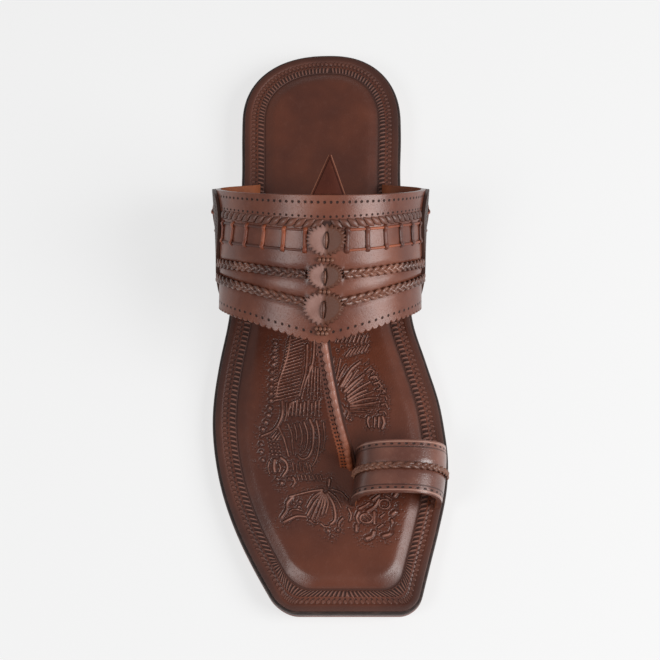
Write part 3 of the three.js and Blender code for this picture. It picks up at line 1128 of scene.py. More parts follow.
LEAF = (
    stroke(
        0.5, (-7.6, -8), (-7.7, -15), (-8.2, -21.7), (-9.4, -26.5), (-11, -30.5), (-12.4, -35.5),
        (-13.6, -41),
    ),
    stroke(0.46, (-11, -14), (-11.2, -22), (-12, -29), (-13.4, -34.5), (-14.8, -39.8)),
    stroke(0.46, (-19.2, -10), (-20.2, -18), (-22, -25), (-24.2, -31.5), (-25.8, -39.5)),
    *(
        stroke(0.36, (-20.3 - i * 0.3, -12.2 - i * 1.65), (-12.3 - i * 0.13, -9.2 - i * 1.65))
        for i in range(19)
    ),
    *dots(0.78, 3.3, (-26.5, -12), (-27.3, -22), (-28.2, -33), (-28.2, -42), (-29.6, -50), (-32.2, -57)),
    *dots(0.7, 3.1, (-32.8, -62.5), (-32.4, -69), (-31, -74)),
    *(stroke(0.3, (-26.8, -15.0 - i * 1.7), (-25.0, -14.2 - i * 1.7)) for i in range(17)),
    stroke(0.6, (-22.9, -42.5), (-22.6, -48.5), (-24.4, -53.6), (-27.4, -57.2), (-32.6, -59.6)),
    stroke(0.34, (-20.8, -43), (-20.6, -48.5), (-21.6, -52.5)),
    *(stroke(0.32, (-9.6 + i * 1.25, -24.5 - i * 0.4), (-11.2 + i * 1.7, -41.5)) for i in range(5)),
    *(stroke(0.3, (-6.2 + i * 1.3, -10), (-6.6 + i * 1.2, -19.5)) for i in range(3)),
)
SCROLL = (
    *(stroke(0.4, (-19.2 + i * 1.75, -43.4 + (i % 3) * 0.8), (-19.9 + i * 1.8, -49.6)) for i in range(9)),
    stroke(0.42, (-18.8, -45.5), (-18.5, -43.2), (-16.5, -42.4)),
    stroke(
        0.58, (-9.7, -51.5), (-8, -56), (-7.9, -62), (-8.6, -66.5), (-10.4, -69.8), (-13.2, -70.8),
        (-15.4, -69),
    ),
    stroke(0.42, (-6.6, -52), (-5.3, -58), (-5.2, -64), (-6.2, -70), (-8.2, -74)),
    stroke(0.34, (-3.2, -53), (-2.6, -60), (-3.4, -67)),
    stroke(0.4, (-12.4, -52.5), (-10.8, -57.5), (-10.7, -62.6), (-11.8, -66.6), (-13.8, -67.4)),
    stroke(0.34, (-14.6, -53.4), (-13.4, -58), (-13.3, -62.2), (-14.4, -64.8)),
    stroke(0.34, (-17, -53.8), (-15.9, -58), (-16, -61.6)),
    stroke(0.5, (-24.5, -55), (-22, -60.5), (-20.4, -66), (-19.6, -69.4)),
    stroke(0.36, (-20, -53.6), (-18.2, -58.5), (-17.9, -63.5), (-17.2, -68.4)),
    *(
        Stroke(0.46, 0.46, ((-28.8 + i % 3 * 1.8 + i // 3 * 0.4, -61.4 - i // 3 * 1.8),))
        for i in range(15)
    ),
    *(
        stroke(0.34, (-27.6 + i * 1.3, -60.4 - i * 0.5), (-25.4 + i * 1.2, -57.4 - i * 0.3))
        for i in range(3)
    ),
    stroke(0.6, (-23.2, -70.2), (-20.8, -72.2), (-20.1, -75.6), (-22.3, -79.3)),
    stroke(0.78, (-26, -71.4), (-26.4, -74), (-26, -76.8)),
    stroke(0.4, (-24, -73), (-23.3, -75), (-24, -77)),
    stroke(0.36, (-28.6, -72), (-29.2, -75), (-28.4, -78)),
    *(stroke(0.34, (-17.6 + i * 1.6, -72.6 - i % 2), (-17.2 + i * 1.7, -76.2 - i % 2)) for i in range(6)),
    *(stroke(0.32, (-15.4 + i * 1.8, -78.6), (-14.6 + i * 1.8, -81)) for i in range(7)),
    stroke(0.8, (-22.6, -82.4)),
    stroke(0.6, (-19.4, -80.2)),
    stroke(0.55, (-24.8, -80.4)),
    stroke(0.56, (-17.4, -79.8), (-16.4, -82), (-17.8, -84.2)),
)
SHELL = (
    stroke(0.46, (-3.5, -85.6), (-10, -86.7), (-19, -89)),
    stroke(0.52, (-3.8, -86.5), (-8, -89.4), (-10.8, -94.2)),
    stroke(0.56, (-3.6, -87.1), (-7, -91.4), (-10.6, -98)),
    stroke(0.56, (-3.3, -87.5), (-5.6, -92.5), (-8.6, -99.6)),
    stroke(0.42, (-2.9, -87.8), (-4, -93), (-6.6, -100)),
    stroke(0.56, (-2.5, -88), (-2.4, -92), (-4, -97.6)),
    stroke(0.42, (-2, -88), (-0.9, -92), (-2.1, -97)),
    stroke(0.6, (-1.2, -87.6), (1.3, -92), (2.4, -97), (2, -100.6), (0.2, -102.2)),
    stroke(0.42, (-0.7, -86.6), (2.9, -89.8), (5.2, -94.4)),
    stroke(0.4, (0.6, -85.4), (5.2, -87), (8.4, -90.4)),
    stroke(0.55, (-0.2, -80.8), (-0.5, -83.8)),
    stroke(0.66, (-17.6, -89.4), (-19.8, -92), (-20.3, -95.6), (-22.6, -99.2), (-22.3, -101.6)),
    stroke(0.58, (-21.8, -101.4), (-18.8, -99.8), (-15.4, -98.4), (-11.4, -98.6)),
    stroke(0.38, (-19.2, -96.4), (-16.6, -95), (-12.4, -96)),
    stroke(0.62, (-14, -91.4)),
    stroke(0.55, (-14.6, -93.9)),
    stroke(0.5, (-16.9, -92.3)),
    stroke(0.4, (-9.6, -100.4), (-7.4, -102), (-5.2, -101.6)),
    stroke(0.4, (-4.4, -101.8), (-2.6, -103.4), (-0.6, -103.2)),
    stroke(0.7, (-1, -105.2)),
    stroke(0.5, (0.8, -108)),
    stroke(0.6, (3.6, -105)),
    stroke(0.45, (5.8, -99.4), (4.2, -101.2), (4, -103.2)),
)
SUNBURST = (
    stroke(0.36, (0.8, -30.3), (1.5, -25.3), (1.9, -20.4)),
    stroke(0.44, (2.9, -31.4), (4, -26.7), (5.1, -21)),
    stroke(0.48, (4, -31.7), (5.8, -27.8), (7.6, -24.4)),
    stroke(0.62, (5.1, -34.9), (9.7, -26.9), (14.4, -22.6)),
    stroke(0.54, (6.1, -34.9), (8.3, -31.4), (10.4, -28.1)),
    stroke(0.4, (7.2, -35.4), (10.6, -30.6), (13.4, -26.4)),
    stroke(0.64, (6.9, -37.4), (10.8, -33.5), (16.1, -28.9)),
    stroke(0.48, (8.3, -38.1), (12.6, -33.9), (15.6, -31.2)),
    stroke(0.52, (8.3, -40.1), (14, -35.6), (19, -32.6)),
    stroke(0.64, (8.6, -41.6), (13.3, -38.6), (17.1, -36.8)),
    stroke(0.42, (9, -42.6), (14.4, -39.8), (20.6, -37.4)),
    stroke(0.54, (9.7, -43.5), (16.9, -41.1), (22.6, -40.6)),
    stroke(0.58, (9.7, -44.8), (18.3, -43.5), (23.4, -42.4)),
    stroke(0.36, (9.6, -46), (16.4, -45.4), (22, -45.2)),
    stroke(0.38, (9.4, -47.2), (15.2, -47.4), (19.8, -48)),
    stroke(0.32, (8.8, -48.6), (13.6, -49.6), (17, -50.8)),
    stroke(0.48, (17.4, -27.6), (19.2, -26.2), (20.8, -27)),
    stroke(0.48, (19.4, -30.6), (21.4, -29.8), (22.8, -31.4)),
    stroke(0.48, (21, -33.6), (23.2, -33), (24.6, -34.8)),
    stroke(0.48, (22.4, -36.6), (24.8, -36.2), (26.2, -37.8)),
    stroke(0.44, (24.2, -39.6), (26.4, -39.8), (27, -41.4)),
    stroke(0.44, (24.4, -44), (26.6, -43.6), (27.2, -45.4)),
    stroke(0.44, (23.4, -47.6), (25.6, -47.2), (26.6, -48.8)),
    *(
        stroke(0.3, (16.8 + i * 1.35, -24.2 - i * 2.3), (18.6 + i * 1.35, -22.6 - i * 2.3))
        for i in range(7)
    ),
    stroke(0.62, (5.1, -44.4), (6.9, -47.2), (5.2, -50.2), (3.6, -51)),
    stroke(0.4, (7.4, -45.6), (8.8, -47.8), (7.6, -51)),
    stroke(0.55, (9.6, -51.4)),
    *(stroke(0.42, (7.6 + i * 1.8, -19.8 + i * 0.5), (10.2 + i * 1.7, -16.2 + i * 0.5)) for i in range(6)),
    *(stroke(0.38, (3.5 + i * 1.9, -12.6), (5 + i * 1.9, -8.8)) for i in range(8)),
    *dots(0.45, 2.2, (3, -17.4), (8, -14.4), (16, -13.4)),
    stroke(0.5, (18.2, -50.2), (17.7, -52.4), (18.4, -55)),
    stroke(0.42, (21.2, -50.4), (20.9, -55.2)),
    stroke(0.5, (23.2, -50.2), (22.9, -55.2)),
    stroke(0.6, (24.9, -50), (25.6, -52.8), (24.6, -56)),
)
FLOWER = (
    stroke(0.56, (13.4, -96.4), (12.3, -99), (13.2, -101.6)),
    oval(0.42, (16.8, -99.4), (2.9, 2.2)),
    stroke(0.36, (15.4, -98.6), (17.6, -100.6)),
    stroke(0.36, (16.6, -97.9), (18.6, -99.7)),
    stroke(0.66, (20.4, -96.4), (20.5, -101.8)),
    stroke(0.52, (13.6, -94.8), (16, -93.5), (18.2, -92)),
    stroke(0.68, (17.4, -96), (20.8, -93.6), (22.9, -90.2)),
    stroke(0.56, (20, -90.6), (23, -88.2)),
    stroke(0.7, (30.2, -88.8), (32.2, -86.2)),
    stroke(0.74, (29, -97.4), (31.3, -95.6), (31.6, -93)),
    stroke(0.74, (24.6, -107.8), (28, -106.6), (29.2, -103.4), (28.6, -100.2)),
    stroke(0.8, (17, -109), (19.4, -108), (20.2, -105.8)),
    stroke(0.62, (12.2, -102.8), (12.1, -105.4)),
    oval(0.34, (25.4, -92.6), (2.6, 2.3)),
    stroke(0.4, (25.8, -88.6), (28.4, -90)),
    stroke(0.4, (8.6, -94.6), (9.8, -97.6), (9, -100.8)),
    stroke(0.4, (22.2, -104), (24.6, -102.2)),
    stroke(0.4, (23.4, -98.8), (25.4, -97.2)),
    *dots(0.36, 1.7, (10.8, -90.6), (13.2, -90.6)),
)


@dataclass
class Tooling:
    """The freehand tooling of the forefoot: a long leaf, scrolls, a shell, a sunburst and a flower."""

    strokes: tuple[Stroke, ...] = (*LEAF, *SCROLL, *SHELL, *SUNBURST, *FLOWER)
    far: float = 9.0

    def distances(self, spots: np.ndarray) -> np.ndarray:
        """Distance from the nearest stroke, in its half widths.

        Args:
            spots: Places on the insole.

        Returns:
            One distance for each place, no more than far.
        """
        best = np.full(len(spots), self.far)
        for mark in self.strokes:
            for (start, width), (end, _width) in pairwise(mark.path()):
                run = end - start
                share = np.clip(((spots - start) @ run) / (run @ run), 0, 1)
                away = spots - start - share[:, None] * run
                np.minimum(best, np.hypot(away[:, 0], away[:, 1]) / width, out=best)
        return best


@dataclass
class Insole:
    """Leather sock with a stamped border, a bevel and a padded centre with freehand tooling."""

    form: SoleForm
    set_back: float = 1.4
    edge_round: float = 0.4
    profile: tuple[tuple[float, float], ...] = (
        (4.1, 0.0),
        (4.8, -0.2),
        (6.9, -0.2),
        (7.6, 0.0),
        (8.1, 0.0),
        (8.7, 0.16),
        (10.3, 0.16),
        (10.9, 0.0),
        (11.6, 0.05),
        (12.2, 0.3),
        (13.2, 0.85),
        (14.2, 1.4),
        (15.2, 1.93),
        (16.2, 2.37),
        (17.3, 2.65),
        (19.0, 2.83),
        (22.0, 2.9),
    )
    raised: float = 0.3
    crest: float = 0.35
    foot: float = 1.25
    columns: int = 176
    fine: float = 0.46
    coarse: float = 2.2
    tooled_from: float = -116.0
    tooled_to: float = 12.0

    def rings(self) -> list[Ring]:
        """The rings from the underside to the padded centre."""
        form = self.form
        top = form.insole_top
        rings = [
            Ring(self.set_back, form.insole_bottom),
            Ring(self.set_back, lambda y: top(y) - self.edge_round),
            Ring(self.set_back + 0.12, lambda y: top(y) - 0.12),
            Ring(self.set_back + self.edge_round, top),
        ]
        rings += [Ring(inset, lambda y, rise=rise: top(y) + rise) for inset, rise in self.profile]
        return rings

    def spacing(self, y: float) -> float:
        """Rows lie close where the leather is tooled."""
        return self.fine if self.tooled_from < y < self.tooled_to else self.coarse

    def build(self) -> bpy.types.Object:
        """Makes the insole."""
        stations = self.form.stations(self.spacing)
        piece = sole_layer(self.form, stations, self.rings(), self.columns)
        self.merge_underside(piece)
        gap = piece.bm.verts.layers.float.new("tooling")
        spots = np.array([(v.co.x, v.co.y) for v in piece.bm.verts])
        for vertex, distance in zip(piece.bm.verts, Tooling().distances(spots)):
            vertex[gap] = distance
            vertex.co.z += self.raised * (1 - smooth(distance, self.crest, self.foot))
        return piece.finish("insole_sock", "insole", ["insole"], [leather(INSOLE_LEATHER)], sharp=60)

    def merge_underside(self, piece: Piece) -> None:
        """Leaves one strip a row underneath, where nothing shows.

        Args:
            piece: The insole's mesh.
        """
        low = [
            edge
            for edge in piece.bm.edges
            if abs(edge.verts[0].co.x - edge.verts[1].co.x) < abs(edge.verts[0].co.y - edge.verts[1].co.y)
            and all(v.co.z < self.form.insole_bottom(v.co.y) + 0.01 for v in edge.verts)
            and not edge.is_boundary
            and edge.calc_face_angle(0.0) < 0.5
        ]
        bmesh.ops.dissolve_edges(piece.bm, edges=low, use_verts=True)


# straps


CORD_SHARP = 80.0
CORD_SIDES = 8
CROWN_TURN = 0.0001


@dataclass(frozen=True)
class Face(ABC):
    """A strap's inner face over the foot."""

    form: SoleForm
    step: float = 0.002

    @abstractmethod
    def point(self, along: float, turn: float) -> Vector:
        """A point of the face."""

    def frame(self, along: float, turn: float) -> tuple[Vector, Vector]:
        """The point and the outward direction there.

        Args:
            along: The share from the strap's rear edge to its front edge.
            turn: The share from its crown to a root.

        Returns:
            The point and the direction.
        """
        h = self.step
        across = self.point(along, turn + h) - self.point(along, turn - h)
        back = self.point(along - h, turn) - self.point(along + h, turn)
        return self.point(along, turn), across.cross(back).normalized()

    def lifted(self, along: float, turn: float, lift: float) -> Vector:
        """A point at a height over the face."""
        point, normal = self.frame(along, turn)
        return point + normal * lift

    def rooted(self, along: float, turn: float, lift: float) -> Vector:
        """The same, kept above what the strap's root stands on."""
        point = self.lifted(along, turn, lift)
        point.z = max(point.z, self.form.insole_bottom(point.y))
        return point

    def arc(self, along: float, count: int = 200) -> Curve:
        """Length across the strap from its crown, against the turn.

        Args:
            along: The section that is measured.
            count: The steps that measure it.

        Returns:
            The signed length as a curve of the turn.
        """
        turns = [lerp(-1, 1, i / count) for i in range(count + 1)]
        lengths = running_lengths([self.point(along, turn) for turn in turns])
        middle = lengths[count // 2]
        return Curve(tuple(turns), tuple(length - middle for length in lengths))


@dataclass(frozen=True)
class BandFace(Face):
    """Inner face of the instep band: an arch whose sections lean back as they go down."""

    rear_y: float = 32.3
    length: float = 59.2
    lean: float = 39.0
    rear_height: float = 71.9
    front_height: float = 45.4
    rear_bulge: float = 29.0
    front_bulge: float = 23.0
    root_inset: float = 9.6
    rear_overhang: float = 17.8
    front_overhang: float = 11.8
    rear_shift: float = 3.6
    front_shift: float = 1.0
    tip: float = 6.3
    bulge_share: float = 0.32
    root_bend: float = 0.35
    front_edge: Curve = Curve((0, 0.19, 0.37, 0.7, 1), (0, 0.62, 1, 0.81, -0.57))

    def sweep(self, height: float) -> float:
        """How far the band has swept outwards at a share of the height up to its widest place."""
        if height < self.root_bend:
            return max(height, 0.0) ** 2 / self.root_bend
        return 1 - (1 - height) ** 2 / (1 - self.root_bend)

    def section(self, crown_y: float, turn: float) -> Vector:
        """A point of the section that has its crown at a place along the foot.

        Args:
            crown_y: Y of the crown.
            turn: The share from the crown to a root.

        Returns:
            The point.
        """
        form = self.form
        share = (self.rear_y - crown_y) / self.length
        root_y = crown_y + self.lean
        left = self.root_inset - form.edge(root_y, -1)
        right = form.edge(root_y, 1) - self.root_inset
        overhang = lerp(self.rear_overhang, self.front_overhang, share)
        middle = (left + right) / 2
        half = (right - left) / 2 + overhang
        root_z = form.insole_bottom(root_y)
        top = form.insole_top(root_y)
        bulge_z = top + lerp(self.rear_bulge, self.front_bulge, share)
        crown_z = top + lerp(self.rear_height, self.front_height, share)
        up = 1 - abs(turn)
        side = math.copysign(1, turn) if turn else 0
        if up < self.bulge_share:
            reach = half - overhang * (1 - self.sweep(up / self.bulge_share))
            x = middle + side * reach
            z = lerp(root_z, bulge_z, up / self.bulge_share)
        else:
            angle = (up - self.bulge_share) / (1 - self.bulge_share) * math.pi / 2
            shift = lerp(self.rear_shift, self.front_shift, share) * math.sin(angle) ** 2
            x = middle + shift + side * half * math.cos(angle)
            z = lerp(bulge_z, crown_z, math.sin(angle))
        return Vector((x, crown_y + self.lean * (crown_z - z) / (crown_z - root_z), z))

    def point(self, along: float, turn: float) -> Vector:
        """A point of the band's inner face."""
        front = self.rear_y - self.length + self.tip * self.front_edge(abs(turn))
        return self.section(lerp(self.rear_y, front, along), turn)


@dataclass(frozen=True)
class LoopFace(Face):
    """Inner face of the big toe loop."""

    rear_y: float = -68.2
    length: float = 24.6
    flare: float = 1.2
    half_width: float = 18.8
    height: float = 27.4
    edge_inset: float = 1.6
    wall: float = 2.4
    squareness: float = 2.6
    sweep_angle: float = 110.0

    def point(self, along: float, turn: float) -> Vector:
        """A point of the loop's inner face.

        Args:
            along: The share from its rear edge to its front edge.
            turn: The share from its crown to a root.

        Returns:
            The point.
        """
        angle = math.radians(90 - turn * self.sweep_angle)
        power = 2 / self.squareness
        reach = signed_power(math.cos(angle), power)
        rise = signed_power(math.sin(angle), power)
        foot = abs(math.sin(math.radians(90 - self.sweep_angle))) ** power
        up = clamp((rise + foot) / (1 + foot))
        y = self.rear_y - self.length * along - self.flare * (1 - up) * (2 * along - 1)
        middle = self.form.edge(y, 1) - self.edge_inset - self.wall - self.half_width
        z = self.form.insole_bottom(y) + self.height * (rise + foot) / (1 + foot)
        return Vector((middle + self.half_width * reach, y, z))


def sweep(
    face: Face,
    route: Route,
    steps: int,
    centre: Callable[[float], tuple[float, float]],
    half: Callable[[float], tuple[float, float]],
    flat: float = 1.0,
) -> Piece:
    """A thong, strand or stitch laid on a face along a route.

    Args:
        face: The face.
        route: Gives (along, turn) at a share of the thong's length.
        steps: The rings along it, less one.
        centre: Gives its middle's offset across the route and its height over the face.
        half: Gives its half width and half height.
        flat: The power of its outline: 1 for round, less for flatter.

    Returns:
        The thong.
    """
    rings = []
    length = 0.0
    previous = None
    for i in range(steps + 1):
        share = i / steps
        point, normal = face.frame(*route(share))
        ahead = face.point(*route(min(share + 0.01, 1.0)))
        behind = face.point(*route(max(share - 0.01, 0.0)))
        across = (ahead - behind).normalized().cross(normal).normalized()
        offset, lift = centre(share)
        middle = point + across * offset + normal * lift
        rings.append((middle, across, normal, half(share)))
        if previous is not None:
            length += (middle - previous).length
        previous = middle

    def place(angle: float, step: int) -> Vector:
        """A corner of a ring."""
        middle, across, normal, (width, height) = rings[step]
        x = signed_power(math.cos(angle), flat) * width
        return middle + across * x + normal * (signed_power(math.sin(angle), flat) * height)

    return Piece.rod(CORD_SIDES, steps, place, length)


@dataclass(frozen=True)
class Plait:
    """A plait of three strands: its length, the strands' swing and weave, and its height."""

    length: float
    spread: float
    weave: float
    base: float
    period: float = 10.2
    steps_a_turn: int = 12
    half: tuple[float, float] = (0.95, 0.6)
    flat: float = 0.85

    def strand(self, face: Face, route: Route, phase: float) -> Piece:
        """One strand.

        Args:
            face: The face that it lies on.
            route: Its route.
            phase: Where it starts in its swing, from 0 to 1.

        Returns:
            The strand.
        """
        turns = self.length / self.period

        def centre(share: float) -> tuple[float, float]:
            """The strand swings once while it rises and dips twice."""
            angle = 2 * math.pi * (share * turns + phase)
            return self.spread * math.sin(angle), self.base + self.weave * math.sin(2 * angle)

        return sweep(face, route, int(turns * self.steps_a_turn), centre, lambda _s: self.half, self.flat)

    def build(self, node: str, face: Face, route: Route, finish: Leather) -> bpy.types.Object:
        """Makes the plait.

        Args:
            node: The CAD node that it stands for.
            face: The face that it lies on.
            route: Its route.
            finish: Its leather.

        Returns:
            The plait.
        """
        piece = Piece.joined([self.strand(face, route, third / 3) for third in range(3)])
        return piece.finish(f"{node}_strands", "braid", [node], [leather(finish)], sharp=CORD_SHARP)


def straight(start: tuple[float, float], end: tuple[float, float]) -> Route:
    """A route between two places on a face, each as (along, turn)."""
    return lambda share: (lerp(start[0], end[0], share), lerp(start[1], end[1], share))


@dataclass(frozen=True)
class Ladder:
    """A laced ladder: two rails of thong under rungs that dip into the leather past them."""

    rungs: int
    base: float
    rail_leather: Leather
    rung_leather: Leather
    half: float = 0.78
    thickness: float = 0.42
    rail_half: tuple[float, float] = (0.6, 0.36)
    rail_steps: int = 60
    rung_steps: int = 18
    end_room: float = 0.02
    over: float = 0.16
    dip: float = 0.75
    rise: float = 1.35
    sag: float = 0.45
    flat: float = 0.8

    def centre(self, share: float) -> tuple[float, float]:
        """A rung comes up out of the leather, crosses a rail, sags a little and goes down again.

        Args:
            share: The share of its length.

        Returns:
            Its middle's offset and height.
        """
        from_end = min(share, 1 - share)
        hump = smooth(from_end, 0.0, 0.11) * (1 - self.sag * smooth(from_end, 0.14, 0.3))
        return 0.0, self.base - self.dip + self.rise * hump

    def rung(self, face: Face, a: tuple[float, float], b: tuple[float, float]) -> Piece:
        """A rung over two places on the rails, and a little past them.

        Args:
            face: The face that it lies on.
            a: The place on the first rail.
            b: The place on the second rail.

        Returns:
            The rung.
        """
        start = (a[0] - (b[0] - a[0]) * self.over, a[1] - (b[1] - a[1]) * self.over)
        end = (b[0] + (b[0] - a[0]) * self.over, b[1] + (b[1] - a[1]) * self.over)
        half = (self.half, self.thickness)
        return sweep(face, straight(start, end), self.rung_steps, self.centre, lambda _s: half, self.flat)

    def rail(self, face: Face, route: Route) -> Piece:
        """A rail along a route."""
        middle = (0.0, self.base)
        return sweep(face, route, self.rail_steps, lambda _s: middle, lambda _s: self.rail_half, self.flat)

    def build(self, node: str, face: Face, rails: Sequence[Route]) -> None:
        """Makes the rails as one piece and the rungs as another.

        Args:
            node: The CAD node that they stand for.
            face: The face that they lie on.
            rails: The routes of the two rails.
        """
        shares = [lerp(self.end_room, 1 - self.end_room, i / (self.rungs - 1)) for i in range(self.rungs)]
        rungs = [self.rung(face, rails[0](share), rails[1](share)) for share in shares]
        pieces = {
            "rails": ([self.rail(face, route) for route in rails], self.rail_leather),
            "rungs": (rungs, self.rung_leather),
        }
        for name, (parts, finish) in pieces.items():
            piece = Piece.joined(parts)
            piece.finish(f"{node}_{name}", "thong", [node], [leather(finish)], sharp=CORD_SHARP)


@dataclass(frozen=True)
class RowLine:
    """A row round the band: its share along at the crown and at the side."""

    crown: float
    side: float
    side_turn: float = 0.6

    def along(self, turn: float) -> float:
        """The row's share along at a turn."""
        return lerp(self.crown, self.side, abs(turn) / self.side_turn)


LOBE_PITCH = 3.25
# how far up the side panel's edge lies, from the share along
PANEL_ARCH = Curve(
    (0, 0.03, 0.08, 0.16, 0.26, 0.4, 0.55, 0.68, 0.79, 0.9, 1),
    (0.375, 0.418, 0.44, 0.452, 0.45, 0.428, 0.392, 0.351, 0.308, 0.262, 0.215),
)

STRAP_LEATHER = Leather(
    "band_leather",
    base=srgb(122, 71, 53),
    deep=srgb(95, 51, 38),
    worn=srgb(156, 108, 90),
    roughness=0.34,
    gloss=0.34,
    coat=0.22,
    rows=(
        Row(Mark.HOLE, 3.0, pitch=LOBE_PITCH * 0.8, width=0.6, length=0.62, depth=0.5),
        Row(Mark.HOLE, 8.9, pitch=LOBE_PITCH * 0.8, width=0.52, length=0.52, depth=0.4),
        # a shallow sunken channel under the whip stitches; its dark colour is painted shade between the
        # stitches
        Row(Mark.DARK_LINE, 11.8, width=2.3, depth=0.25, tint=0.85),
        Row(Mark.HOLE, 56.4, pitch=LOBE_PITCH, width=0.62, length=0.62, depth=0.5),
    ),
)
LINING = Leather(
    "lining",
    base=srgb(156, 88, 54),
    deep=srgb(118, 62, 38),
    worn=srgb(186, 122, 84),
    roughness=0.62,
    coat=0.0,
    grain=1.4,
)
PANEL_LEATHER = Leather(
    "side_panel_leather",
    base=srgb(84, 54, 43),
    deep=srgb(58, 36, 30),
    worn=srgb(128, 88, 68),
    roughness=0.5,
    coat=0.08,
    rows=(
        Row(Mark.DARK_LINE, 1.5, width=0.4),
        Row(Mark.SLASH, 3.0, pitch=1.9, width=0.42, length=1.0, slant=0.7),
        Row(Mark.DARK_LINE, 4.6, width=0.4),
        Row(Mark.HOLE, 6.4, pitch=2.2, width=0.45, length=0.32),
    ),
)
THONG_BRIGHT = Leather(
    "thong_bright",
    base=srgb(156, 82, 50),
    deep=srgb(112, 52, 32),
    worn=srgb(190, 122, 86),
    roughness=0.45,
    coat=0.12,
    grain=0.6,
)
THONG_DARK = Leather(
    "thong_dark",
    base=srgb(104, 54, 38),
    deep=srgb(72, 36, 26),
    worn=srgb(146, 90, 66),
    roughness=0.45,
    coat=0.12,
    grain=0.6,
)
WHIP_LEATHER = Leather(
    "whip_leather",
    base=srgb(112, 66, 50),
    deep=srgb(78, 43, 32),
    worn=srgb(150, 104, 86),
    roughness=0.42,
    grain=0.6,
)
BRAID_LEATHER = Leather(
    "braid_leather",
    base=srgb(128, 80, 62),
    deep=srgb(66, 34, 25),
    worn=srgb(196, 152, 130),
    rubbed=0.45,
    roughness=0.32,
    coat=0.36,
    grain=0.6,
)

SLIT_ROW = Row(Mark.SLASH, 0.0, pitch=40.0, width=0.75, length=3.9, depth=0.4, tint=0.85)
# painted light on the rosettes: the pale colour is a painted highlight on their little toe side halves, and
# the fade to brown paints shade on their big toe side halves
SPINE_LEATHER = Leather(
    "spine_leather",
    base=srgb(156, 121, 112),
    deep=srgb(124, 88, 78),
    worn=srgb(190, 160, 152),
    roughness=0.44,
    gloss=0.22,
    coat=0.06,
    rows=(SLIT_ROW,),
    # painted shade: the rosettes' big toe side halves fade to brown
    fade=Fade(srgb(86, 48, 31), 18.6, 20.8),
)
KNOT_LEATHER = Leather(
    "knot_leather",
    base=srgb(136, 90, 70),
    deep=srgb(92, 54, 40),
    worn=srgb(186, 140, 118),
    grain=0.6,
)
TAB_LEATHER = Leather(
    "peak_leather",
    base=srgb(80, 37, 25),
    deep=srgb(62, 27, 19),
    worn=srgb(150, 100, 78),
    roughness=0.62,
    gloss=0.12,
    coat=0.0,
    rows=(Row(Mark.DARK_LINE, 1.2, width=0.3, tint=0.5),),
    edges=((0.0, 0.3),),
)

PLAIT_ROWS = {"rear": RowLine(0.55, 0.63), "front": RowLine(0.755, 0.76)}
LACING_ROWS = (RowLine(0.243, 0.278), RowLine(0.385, 0.44))
WHIP_ROW = RowLine(0.2, 0.22)
# each rosette's rear and front, as shares along, and its half width
ROSETTES = ((0.205, 0.415, 8.0), (0.472, 0.648, 7.3), (0.672, 0.895, 8.4))
# each stitch's middle and reach, as shares along, and its half width
SLIT_STITCHES = ((0.31, 0.05, 0.55), (0.56, 0.042, 0.5), (0.784, 0.055, 0.55))
# each row's share along and its count of knots
NECK_KNOTS = ((0.443, 4), (0.66, 3), (0.915, 4), (0.945, 3))


